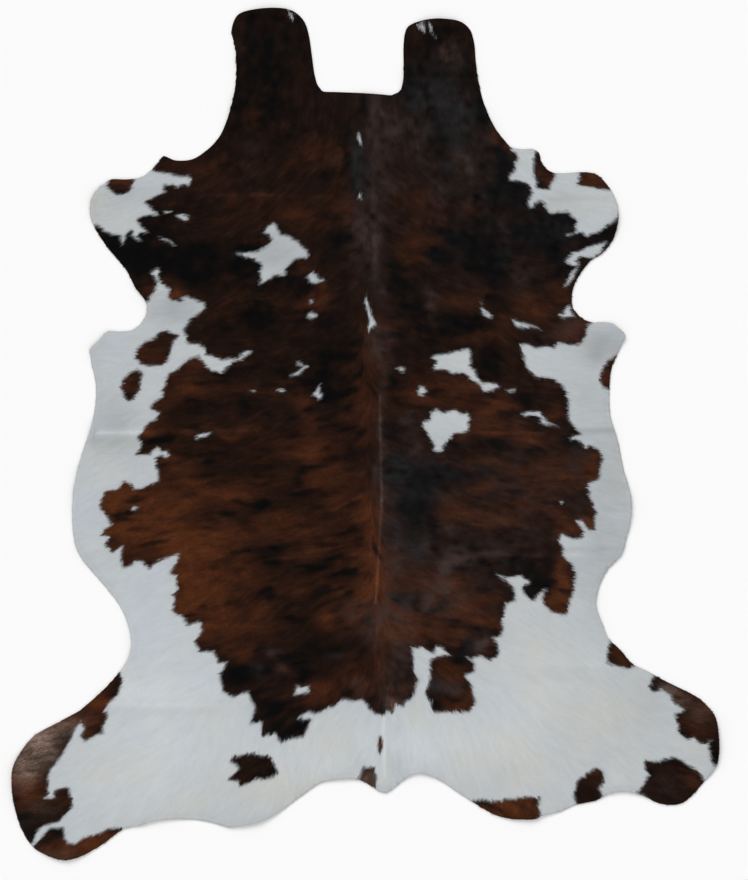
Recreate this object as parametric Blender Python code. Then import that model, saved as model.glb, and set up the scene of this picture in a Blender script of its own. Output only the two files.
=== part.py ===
"""Cowhide rug: one whole hair-on hide, cut to its natural outline and lying flat.

The neck points to +Y, the rump to -Y, and the hair side faces up (+Z). The hide was opened along
the belly, so the belly's two edges lie far left (-X) and far right (+X), with the legs on them.
The origin is in the middle of the outline, on the floor. The hide is one piece of leather with
short hair, so it is one solid: the suede underside, and above it the leather with its laid pile.
"""

import math

import bmesh
import bpy
import numpy as np
from mathutils import Vector, geometry

MM = 0.001

# Thickness, in metres: tanned leather, then hair lying flat on it. The hair thins at the cut rim.
LEATHER = 0.0022
PILE = 0.0030
RIM_PILE = 0.0012

# Spacing of the mesh, in metres
FIELD_STEP = 0.050
RIM_STEP_MIN = 0.008
RIM_STEP_MAX = 0.040
RIM_TURN = math.radians(14)
RIM_CLEAR = 0.022
CREASE_STEP = 0.045
CREASE_CLEAR = 0.026
ROW_GAP = 0.018
SMOOTH_ANGLE = math.radians(40)

# A crest keeps this share of its height all along, and the rest comes and goes in slow beats.
# Where the hide would stand less than SETTLED off the floor, it lies on it.
CREST_EVEN = 0.72
CREST_BEATS = 9.0
SETTLED = 0.0006

# Outline in millimetres from the middle of the hide, clockwise seen from above, from the corner
# between the left foreleg and the neck. Each stretch is one smooth curve through its points, and
# neighbouring stretches share the corner, or the turn, where they meet.
OUTLINE = (
    ("left neck flap", (
        (-541, 752), (-512, 741), (-467, 742), (-430, 763), (-388, 808), (-348, 937), (-348, 1042),
        (-358, 1088), (-342, 1131), (-304, 1146), (-210, 1149), (-178, 1135), (-154, 1103),
        (-125, 946), (-109, 926))),
    ("neck notch", (
        (-109, 926), (-13, 922), (75, 916))),
    ("right neck flap", (
        (75, 916), (99, 930), (108, 1072), (119, 1101), (171, 1120), (225, 1121), (264, 1113),
        (292, 1085), (307, 975), (321, 908), (337, 863), (363, 815), (398, 776))),
    ("right foreleg", (
        (398, 776), (428, 770), (455, 771), (474, 760), (479, 737), (495, 716), (516, 706),
        (622, 705), (658, 673), (680, 634), (688, 597), (678, 535), (648, 491), (612, 467))),
    ("right armpit", (
        (612, 467), (585, 432), (566, 392), (564, 346), (581, 321), (609, 303))),
    ("right brisket corner", (
        (609, 303), (670, 300), (707, 266))),
    ("right flank", (
        (707, 266), (686, 216), (670, 178), (664, 119), (668, 43), (686, -15), (704, -101),
        (722, -168), (722, -230), (708, -289), (696, -327), (660, -366), (635, -416), (628, -464),
        (647, -516), (660, -549), (690, -578), (725, -618), (762, -637), (816, -666))),
    ("right hind leg", (
        (816, -666), (900, -709), (930, -735), (951, -767), (954, -894), (921, -937), (868, -992),
        (835, -1002), (792, -996), (754, -977), (703, -965), (657, -974), (627, -990),
        (570, -1002), (534, -1019), (481, -1031), (468, -1039))),
    ("rump", (
        (468, -1039), (406, -1040), (353, -1028), (305, -1001), (264, -975), (188, -926),
        (144, -916), (114, -930), (63, -968), (40, -964), (28, -956), (-16, -933), (-110, -940),
        (-146, -962), (-246, -1032), (-301, -1053), (-361, -1062))),
    ("left hind leg", (
        (-361, -1062), (-453, -1042), (-558, -1043), (-604, -1057), (-651, -1068), (-700, -1105),
        (-758, -1138), (-804, -1150), (-851, -1139), (-899, -1109), (-941, -1015), (-948, -902),
        (-925, -856), (-889, -812), (-832, -781), (-764, -743))),
    ("left flank", (
        (-764, -743), (-701, -687), (-664, -646), (-641, -614), (-628, -562), (-653, -475),
        (-766, -329), (-782, -289), (-787, -189), (-777, -112), (-754, -31), (-746, -11),
        (-727, 65), (-724, 135), (-735, 186), (-740, 229))),
    ("left brisket corner", (
        (-740, 229), (-692, 278))),
    ("left armpit and foreleg", (
        (-692, 278), (-634, 280), (-611, 290), (-588, 324), (-588, 356), (-616, 393), (-642, 443),
        (-688, 498), (-727, 557), (-739, 590), (-736, 633), (-716, 664), (-681, 689))),
    ("left foreleg, top", (
        (-681, 689), (-604, 693), (-567, 721), (-541, 752))),
)

# Folds left by the hide's shipping bundle, and the rise along its back.
# Columns: name, start (mm), end (mm), height (mm), half width (mm)
CREASES = (
    ("left neck flap fold", (-350, 1010), (-150, 1016), 4, 26),
    ("right neck flap fold", (110, 958), (306, 964), 6, 24),
    ("shoulder fold, left", (-735, 648), (-60, 652), 6, 26),
    ("shoulder fold, right", (120, 640), (684, 632), 7, 26),
    ("chest fold", (-560, 338), (470, 330), 4, 28),
    ("belly fold, left", (-728, 2), (-80, 6), 9, 24),
    ("belly fold, right", (80, 8), (692, 12), 8, 24),
    ("flank fold, left", (-780, -320), (-120, -326), 5, 28),
    ("flank fold, right", (60, -316), (700, -312), 8, 26),
    ("hind fold, left", (-690, -728), (-120, -722), 8, 26),
    ("hind fold, right", (250, -628), (700, -622), 5, 28),
    ("back, neck end", (12, 905), (6, 330), 5, 34),
    ("back, middle", (6, 330), (34, -330), 4, 34),
    ("back, tail end", (34, -330), (44, -945), 7, 30),
)

# Places where the edge of the hide stands off the floor, and soft swells further in.
# Columns: name, middle (mm), reach (mm), height (mm)
SWELLS = (
    ("left neck flap tip", (-255, 1165), 95, 9),
    ("right neck flap tip", (205, 1140), 90, 11),
    ("left neck edge", (-352, 880), 90, 6),
    ("right neck edge", (372, 850), 80, 7),
    ("left foreleg", (-755, 640), 85, 10),
    ("right foreleg", (700, 590), 85, 9),
    ("left armpit", (-600, 372), 70, 6),
    ("left brisket", (-748, 262), 80, 9),
    ("right brisket", (712, 292), 75, 10),
    ("left belly edge", (-800, -150), 120, 8),
    ("right belly edge", (738, -190), 110, 9),
    ("left flank bay", (-640, -560), 95, 7),
    ("right flank bay", (640, -470), 85, 6),
    ("left hock", (-962, -940), 110, 11),
    ("left hock end", (-815, -1160), 90, 8),
    ("left thigh", (-560, -1050), 95, 7),
    ("left rump", (-300, -1060), 100, 9),
    ("tail, left", (-60, -940), 75, 6),
    ("tail, right", (150, -925), 70, 7),
    ("right rump", (440, -1045), 90, 8),
    ("right thigh", (700, -968), 85, 6),
    ("right hock", (962, -830), 100, 12),
    ("left thigh swell", (-470, -860), 110, 4),
    ("right thigh swell", (540, -760), 120, 4),
)


def smooth_points(points):
    """Points along a centripetal Catmull-Rom curve, closer together where it turns."""
    knots = [Vector(point) * MM for point in points]
    before = 2 * knots[0] - knots[1]
    after = 2 * knots[-1] - knots[-2]
    chain = [before] + knots + [after]
    placed = []
    for first, start, end, last in zip(chain, chain[1:], chain[2:], chain[3:]):
        span = (end - start).length
        turn = (start - first).angle(end - start, 0) + (end - start).angle(last - end, 0)
        steps = max(span / RIM_STEP_MAX, min(turn / 2 / RIM_TURN, span / RIM_STEP_MIN), 1)
        steps = math.ceil(steps)
        for step in range(steps):
            placed.append(on_curve((first, start, end, last), step / steps))
    return placed


def on_curve(knots, share):
    """The point at a share of the span between the two middle ones of four knots."""
    first, start, end, last = knots
    t0 = 0.0
    t1 = t0 + math.sqrt((start - first).length)
    t2 = t1 + math.sqrt((end - start).length)
    t3 = t2 + math.sqrt((last - end).length)
    t = t1 + (t2 - t1) * share
    a1 = first.lerp(start, (t - t0) / (t1 - t0))
    a2 = start.lerp(end, (t - t1) / (t2 - t1))
    a3 = end.lerp(last, (t - t2) / (t3 - t2))
    b1 = a1.lerp(a2, (t - t0) / (t2 - t0))
    b2 = a2.lerp(a3, (t - t1) / (t3 - t1))
    return b1.lerp(b2, (t - t1) / (t2 - t1))


def rim_points():
    """The whole outline as one closed loop of points, in metres, its box centred on the origin."""
    rim = []
    for _name, points in OUTLINE:
        rim += smooth_points(points)
    rim = np.array([tuple(point) for point in rim])
    return rim - (rim.min(axis=0) + rim.max(axis=0)) / 2


def line_distance(points, start, end):
    """Distance of points from the line between two places, and how far along it they lie."""
    run = end - start
    along = np.clip(((points - start) @ run) / (run @ run), 0, 1)
    nearest = start + along[:, None] * run
    return np.linalg.norm(points - nearest, axis=1), along


def rim_distance(points, rim):
    """Distance of points from the outline."""
    best = np.full(len(points), np.inf)
    for start, end in zip(rim, np.roll(rim, -1, axis=0)):
        best = np.minimum(best, line_distance(points, start, end)[0])
    return best


def inside(points, rim):
    """Which points lie within the outline."""
    crossings = np.zeros(len(points), dtype=int)
    for start, end in zip(rim, np.roll(rim, -1, axis=0)):
        spans = (start[1] > points[:, 1]) != (end[1] > points[:, 1])
        rise = end[1] - start[1]
        if rise == 0:
            continue
        x_there = start[0] + (points[:, 1] - start[1]) * (end[0] - start[0]) / rise
        crossings += spans & (points[:, 0] < x_there)
    return crossings % 2 == 1


def lift(points):
    """Height of the underside above the floor: crests along the folds, and raised edges."""
    height = np.zeros(len(points))
    for _name, start, end, crest, half_width in CREASES:
        away, along = line_distance(points, np.array(start) * MM, np.array(end) * MM)
        crown = np.exp(-np.square(away / (half_width * MM)) / 2)
        beat = CREST_EVEN + (1 - CREST_EVEN) * np.cos(CREST_BEATS * along)
        height = np.maximum(height, crest * MM * crown * beat)
    for _name, middle, reach, rise in SWELLS:
        away = np.linalg.norm(points - np.array(middle) * MM, axis=1)
        height = np.maximum(height, rise * MM * np.exp(-2 * np.square(away / (reach * MM))))
    return np.maximum(height - SETTLED, 0.0)


def crease_rows():
    """Rows of points on each fold's crest and along its two feet."""
    rows = []
    for _name, start, end, _crest, half_width in CREASES:
        start = np.array(start) * MM
        end = np.array(end) * MM
        run = end - start
        length = np.linalg.norm(run)
        across = np.array((-run[1], run[0])) / length
        steps = max(2, round(length / CREASE_STEP))
        for side in (-1, 0, 1):
            shift = across * side * half_width * MM
            rows += [start + run * step / steps + shift for step in range(steps + 1)]
    return np.array(rows)


def thinned(points, gap):
    """The points that keep the given gap from the ones before them."""
    kept = []
    for point in points:
        if all(np.linalg.norm(point - other) > gap for other in kept):
            kept.append(point)
    return np.array(kept)


def field_points(rim, rows):
    """Staggered rows of points over the hide, clear of the outline and of the folds."""
    low = rim.min(axis=0)
    high = rim.max(axis=0)
    pitch = FIELD_STEP * math.sqrt(3) / 2
    lattice = []
    for row in range(int((high[1] - low[1]) / pitch) + 1):
        offset = FIELD_STEP / 2 * (row % 2)
        for column in range(int((high[0] - low[0]) / FIELD_STEP) + 1):
            lattice.append((low[0] + offset + column * FIELD_STEP, low[1] + row * pitch))
    lattice = np.array(lattice)
    gap = np.min(np.linalg.norm(lattice[:, None] - rows[None], axis=2), axis=1)
    return lattice[gap > CREASE_CLEAR]


def hide_points(rim):
    """All points inside the outline."""
    rows = thinned(crease_rows(), ROW_GAP)
    points = np.vstack((rows, field_points(rim, rows)))
    points = points[inside(points, rim)]
    return points[rim_distance(points, rim) > RIM_CLEAR]


def make_hide():
    """The hide: its underside is lifted over the folds, then grown upwards by its thickness."""
    rim = rim_points()
    flat = np.vstack((rim, hide_points(rim)))
    border = [(index, (index + 1) % len(rim)) for index in range(len(rim))]
    coords = [Vector(point) for point in flat]
    places, _, faces, _, _, _ = geometry.delaunay_2d_cdt(coords, border, [], 1, 1e-6)
    places = np.array([tuple(place) for place in places])
    heights = lift(places)
    at_rim = rim_distance(places, rim) < 1e-5

    shape = bmesh.new()
    corners = [shape.verts.new((x, y, z)) for (x, y), z in zip(places, heights)]
    for face in faces:
        shape.faces.new([corners[index] for index in face])
    pile = {corner: RIM_PILE if edge else PILE for corner, edge in zip(corners, at_rim)}
    grow(shape, pile)

    mesh = bpy.data.meshes.new("hide")
    shape.to_mesh(mesh)
    shape.free()
    mesh.shade_smooth()
    mesh.set_sharp_from_angle(angle=SMOOTH_ANGLE)
    hide = bpy.data.objects.new("hide", mesh)
    bpy.context.collection.objects.link(hide)
    hide.data.materials.append(coat_material())
    return hide


def grow(shape, pile):
    """Extrude the sheet upwards into a closed solid, by the leather and the pile at each point."""
    under = {tuple(round(value, 6) for value in corner.co): pile[corner] for corner in shape.verts}
    grown = bmesh.ops.extrude_face_region(shape, geom=shape.faces[:], use_keep_orig=True)
    for corner in grown["geom"]:
        if isinstance(corner, bmesh.types.BMVert):
            key = tuple(round(value, 6) for value in corner.co)
            corner.co.z += LEATHER + under[key]
    bmesh.ops.recalc_face_normals(shape, faces=shape.faces[:])


def coat_material():
    """Dark chestnut and black brindle coat, short and slightly glossy."""
    coat = bpy.data.materials.new("brindle hair")
    coat.use_nodes = True
    shader = coat.node_tree.nodes["Principled BSDF"]
    shader.inputs["Base Color"].default_value = (0.045, 0.022, 0.013, 1)
    shader.inputs["Roughness"].default_value = 0.55
    shader.inputs["Metallic"].default_value = 0.0
    return coat


def main():
    for thing in list(bpy.data.objects):
        bpy.data.objects.remove(thing)
    make_hide()


main()
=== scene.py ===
"""Cowhide rug: the look of one whole hair-on hide, lying flat with its hair side up.

The leather is one thin sheet with a suede underside. A felt of short under hair lies on it, and
thousands of flat locks are rooted all over that, combed along the lie of the animal's coat. Every
lock is one colour from root to tip, so the edges of the patches are as ragged as the hair is.

Places in the tables are from the middle of the hide, seen from above: +X is its right side, +Y its
neck, and +Z is up. The tables are in millimetres, and every other size is in metres.
"""

import math

import bmesh
import bpy
import numpy as np
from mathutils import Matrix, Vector, geometry


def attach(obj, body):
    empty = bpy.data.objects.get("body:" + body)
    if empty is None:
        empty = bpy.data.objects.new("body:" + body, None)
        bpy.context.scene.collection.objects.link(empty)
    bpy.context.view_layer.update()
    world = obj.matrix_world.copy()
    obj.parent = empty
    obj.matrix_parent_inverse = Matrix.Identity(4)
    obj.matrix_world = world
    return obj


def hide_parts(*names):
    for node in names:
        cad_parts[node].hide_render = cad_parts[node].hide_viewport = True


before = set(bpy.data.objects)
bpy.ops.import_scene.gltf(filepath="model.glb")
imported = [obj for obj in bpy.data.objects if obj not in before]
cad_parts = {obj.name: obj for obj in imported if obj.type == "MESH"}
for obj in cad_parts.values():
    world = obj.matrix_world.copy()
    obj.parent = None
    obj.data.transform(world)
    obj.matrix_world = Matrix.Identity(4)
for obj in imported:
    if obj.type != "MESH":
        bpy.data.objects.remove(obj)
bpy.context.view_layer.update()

MM = 0.001  # a millimetre in metres

# ---- Leather and hair ----

LEATHER = 0.0022  # thickness of the leather
UNDER_HAIR = 0.0013  # height of the felt of under hair on it
RIM_UNDER_HAIR = 0.0005  # and its height at the cut edge
RIM_THINNING = 0.014  # distance from the edge over which it thins out
BED = 0.0003  # how far it sinks into the leather
RIM_INSET = 0.0012  # from the hide's edge in to the leather's, which the locks reach past

# Spacing of the sheets' points
RIM_STEP = 0.008  # along the cut edge
LEATHER_STEP = 0.020  # over the leather
HAIR_STEP = 0.010  # over the under hair
RIM_CLEARANCE = 0.45  # share of their spacing by which inner points stay off the edge

# Half the width over which white hair turns dark
PATCH_SOFTNESS = 0.0042  # in the locks
UNDER_HAIR_SOFTNESS = 0.004  # in the under hair
STAIN_SOFTNESS = 0.010  # in the leather's stain

# Roots of the locks
ROOT_STEP = 0.00292  # spacing
ROOT_INSET = 0.0008  # how far they stay inside the edge
ROOT_SINK = 0.0002  # how far they sink into the under hair
ROOT_SEED = 7  # of everything that is random about the locks

# Locks of hair. Where there are two numbers, each lock has its own between them
LOCK_LENGTH = (0.011, 0.019)
LOCK_HALF_WIDTH = (0.0008, 0.0013)
LOCK_BELLY = (0.30, 0.48)  # where it is widest, as a share of its length
LOCK_TIP_RISE = (0.0004, 0.0012)
BELLY_RISE = 0.35  # rise where it is widest, as a share of the tip's
LOCK_ROLL = 0.00013  # how far it rolls to one side, up on one edge and down on the other
LOCK_STRAY = math.radians(8)  # how far it turns from the lie
WHITE_LIE_FLAT = 0.15  # rise and roll of white locks, as a share of the dark ones'
COLOUR_PLACE = 0.45  # where it takes its colour from the coat, as a share of its length
COLOUR_STRAY = 0.0010  # how far off that colour may be found

# Locks at the edge
OVERHANG = 0.004  # the most they hang over it
DROOP = 0.25  # how far they droop, as a share of how far they hang over it
TRIM = 0.8  # share of its length that a lock which hangs too far over keeps each time
TRIMS = 6  # the most times that it is trimmed

BANDS = 5  # pieces that the locks are made as, in bands from the tail to the neck

# ---- The form of the hide on the floor ----

# Folds left by the hide's shipping bundle, and the rise along its back.
# Columns: name, start (mm), end (mm), height (mm), half width (mm)
CREASES = (
    ("left neck flap fold", (-350, 1010), (-150, 1016), 4, 26),
    ("right neck flap fold", (110, 958), (306, 964), 6, 24),
    ("shoulder fold, left", (-735, 648), (-60, 652), 6, 26),
    ("shoulder fold, right", (120, 640), (684, 632), 7, 26),
    ("chest fold", (-560, 338), (470, 330), 4, 28),
    ("belly fold, left", (-728, 2), (-80, 6), 9, 24),
    ("belly fold, right", (80, 8), (692, 12), 8, 24),
    ("flank fold, left", (-780, -320), (-120, -326), 5, 28),
    ("flank fold, right", (60, -316), (700, -312), 8, 26),
    ("hind fold, left", (-690, -728), (-120, -722), 8, 26),
    ("hind fold, right", (250, -628), (700, -622), 5, 28),
    ("back, neck end", (12, 905), (6, 330), 5, 34),
    ("back, middle", (6, 330), (34, -330), 4, 34),
    ("back, tail end", (34, -330), (44, -945), 7, 30),
)

CREST_EVEN = 0.72  # share of its height that a crest keeps all along. The rest comes and goes
CREST_BEATS = 9.0  # angle (radians) that the coming and going turns through from end to end
SETTLED = 0.0006  # by how much every height is less, so that the hide lies on the floor in between

# Places where the edge of the hide stands off the floor, and soft swells further in.
# Columns: name, middle (mm), reach (mm), height (mm)
SWELLS = (
    ("left neck flap tip", (-255, 1165), 95, 9),
    ("right neck flap tip", (205, 1140), 90, 11),
    ("left neck edge", (-352, 880), 90, 6),
    ("right neck edge", (372, 850), 80, 7),
    ("left foreleg", (-755, 640), 85, 10),
    ("right foreleg", (700, 590), 85, 9),
    ("left armpit", (-600, 372), 70, 6),
    ("left brisket", (-748, 262), 80, 9),
    ("right brisket", (712, 292), 75, 10),
    ("left belly edge", (-800, -150), 120, 8),
    ("right belly edge", (738, -190), 110, 9),
    ("left flank bay", (-640, -560), 95, 7),
    ("right flank bay", (640, -470), 85, 6),
    ("left hock", (-962, -940), 110, 11),
    ("left hock end", (-815, -1160), 90, 8),
    ("left thigh", (-560, -1050), 95, 7),
    ("left rump", (-300, -1060), 100, 9),
    ("tail, left", (-60, -940), 75, 6),
    ("tail, right", (150, -925), 70, 7),
    ("right rump", (440, -1045), 90, 8),
    ("right thigh", (700, -968), 85, 6),
    ("right hock", (962, -830), 100, 12),
    ("left thigh swell", (-470, -860), 110, 4),
    ("right thigh swell", (540, -760), 120, 4),
)
SWELL_FALL = 2.0  # how far a swell has sunk at its reach: to this power of 1 / e

# ---- The lie of the hair ----

BACK_LINE = ((12, 900), (6, 330), (30, -220), (44, -880))  # places (mm) on the line of the back
BACK_BAND = 0.032  # reach from it in which the hair lies straight along it

# Direction in which the hair lies on the left half of the hide, from root to tip. The right half
# mirrors the left one about the back.
# Columns: place (mm), direction
SIDE_COMB = (
    ((-330, 1110), (-0.25, -1.00)), ((-250, 1100), (0.00, -1.00)), ((-165, 1080), (0.10, -1.00)),
    ((-310, 950), (-0.30, -1.00)), ((-190, 930), (-0.10, -1.00)), ((-100, 840), (-0.25, -1.00)),
    ((-320, 800), (-0.70, -1.00)), ((-170, 720), (-0.75, -0.70)), ((-460, 720), (-1.00, -0.55)),
    ((-570, 690), (-1.00, -0.30)), ((-690, 600), (-1.00, -0.25)), ((-310, 620), (-1.00, -0.45)),
    ((-120, 560), (-0.85, -0.55)), ((-460, 560), (-1.00, -0.35)), ((-650, 490), (-0.95, -0.40)),
    ((-230, 470), (-0.95, -0.40)), ((-560, 400), (-1.00, -0.20)), ((-370, 360), (-1.00, -0.35)),
    ((-120, 330), (-0.90, -0.45)), ((-680, 220), (-1.00, -0.20)), ((-500, 170), (-1.00, -0.25)),
    ((-280, 130), (-1.00, -0.22)), ((-110, 80), (-1.00, -0.30)), ((-690, 0), (-1.00, -0.30)),
    ((-460, -60), (-1.00, -0.18)), ((-220, -120), (-1.00, -0.20)), ((-90, -180), (-1.00, -0.30)),
    ((-710, -240), (-1.00, -0.40)), ((-470, -300), (-1.00, -0.25)), ((-220, -360), (-1.00, -0.30)),
    ((-90, -440), (-0.95, -0.40)), ((-610, -460), (-0.90, -0.50)), ((-400, -560), (-0.95, -0.45)),
    ((-190, -640), (-0.90, -0.50)), ((-70, -740), (-0.40, -1.00)), ((-560, -740), (-0.85, -0.55)),
    ((-360, -860), (-0.50, -0.90)), ((-150, -880), (-0.15, -1.00)), ((-700, -850), (-0.95, -0.40)),
    ((-860, -960), (-0.95, -0.35)), ((-600, -1000), (-0.65, -0.80)), ((-800, -1100), (-0.80, -0.65)),
    ((-920, -880), (-1.00, -0.25)),
)
COMB_REACH = 0.050  # distance over which one place's direction gives way to the next one's

# Slow random turns of the lie. Columns: seed, size of a feature, turn (radians)
LIE_TURNS = ((3, 0.11, 0.12), (4, 0.035, 0.07))

# ---- Noise in the coat ----

# Round kinds. Columns: seed, size of a feature
DRIFT = ((11, 0.05), (12, 0.05))
BLOTCHES = (24, 0.060)
DAPPLES = ((27, 0.017), (28, 0.010))
DAPPLE_SHARE = 0.7  # weight of each of the two kinds of dapples, where they are added up

# Kinds drawn out along the hair. Columns: seed, size of a feature, reach each way
STRANDS = (22, 0.006, 0.018)
THREADS = (23, 0.0035, 0.012)

# Kinds drawn out along the brindle's bands, which lie more across the hide than the hair does
WISPS = (21, 0.018, 0.045)
BRINDLE = (25, 0.009, 0.022)
MOTTLE = (26, 0.011, 0.010)
BAND_RUN = 0.35  # share of the hair's run along the hide that the bands keep

# How far tones are moved about. Columns: by the drift, by the wisps
BRINDLE_MOVES = (0.007, 0.008)  # black and chestnut
SHEEN_MOVES = (0.003, 0.004)  # painted grey sheen, painted cool sheen and roan

# The weight of each kind of noise
RAGGED_NOISE = {"strands": 0.0013, "threads": 0.0012}  # in the patches' edges, as a distance
FLECK_NOISE = {"brindle": 1.0, "wisps": 0.30}
GRAIN_NOISE = {"strands": 0.035, "threads": 0.030}
BLACK_NOISE = {"wisps": 0.10}
CHESTNUT_NOISE = {"wisps": -0.12, "brindle": -0.14, "mottle": -0.10}
SHEEN_NOISE = {"dapples": -0.28, "mottle": 0.12}
ROAN_NOISE = {"brindle": 0.25}
WARM_NOISE = {"blotches": 0.09, "dapples": 0.05}
DARK_SHADE_NOISE = {"strands": 0.035, "threads": 0.035, "mottle": 0.05, "dapples": -0.05}
WHITE_SHADE_NOISE = {"strands": 0.014, "threads": 0.012, "blotches": 0.008}

# Black flecks all over, and black dapples in the front half
FLECK_RISE = (0.2, 2.1)  # noise at which a fleck begins and is full
BLACK_FLECKS = 0.40  # weight of the flecks in the black
FLECKS_AHEAD = 0.25  # share of the flecks at the neck
FLECKS_FROM = (0.55, 0.05)  # places along the hide between which the rest come in
BLACK_DAPPLES = 0.10  # weight of the dapples in the black
DAPPLES_FROM = (-0.15, 0.45)  # places along the hide between which the dapples come in

BLACK_RISE = (0.08, 0.93)  # amount at which the black begins and is full
WHITE_WARMTH = 0.25  # of the white hair, where no area changes it
WHITE_FOLD_SHADING = 0.40  # share of a fold line's painted light and shade that shows in white hair
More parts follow.
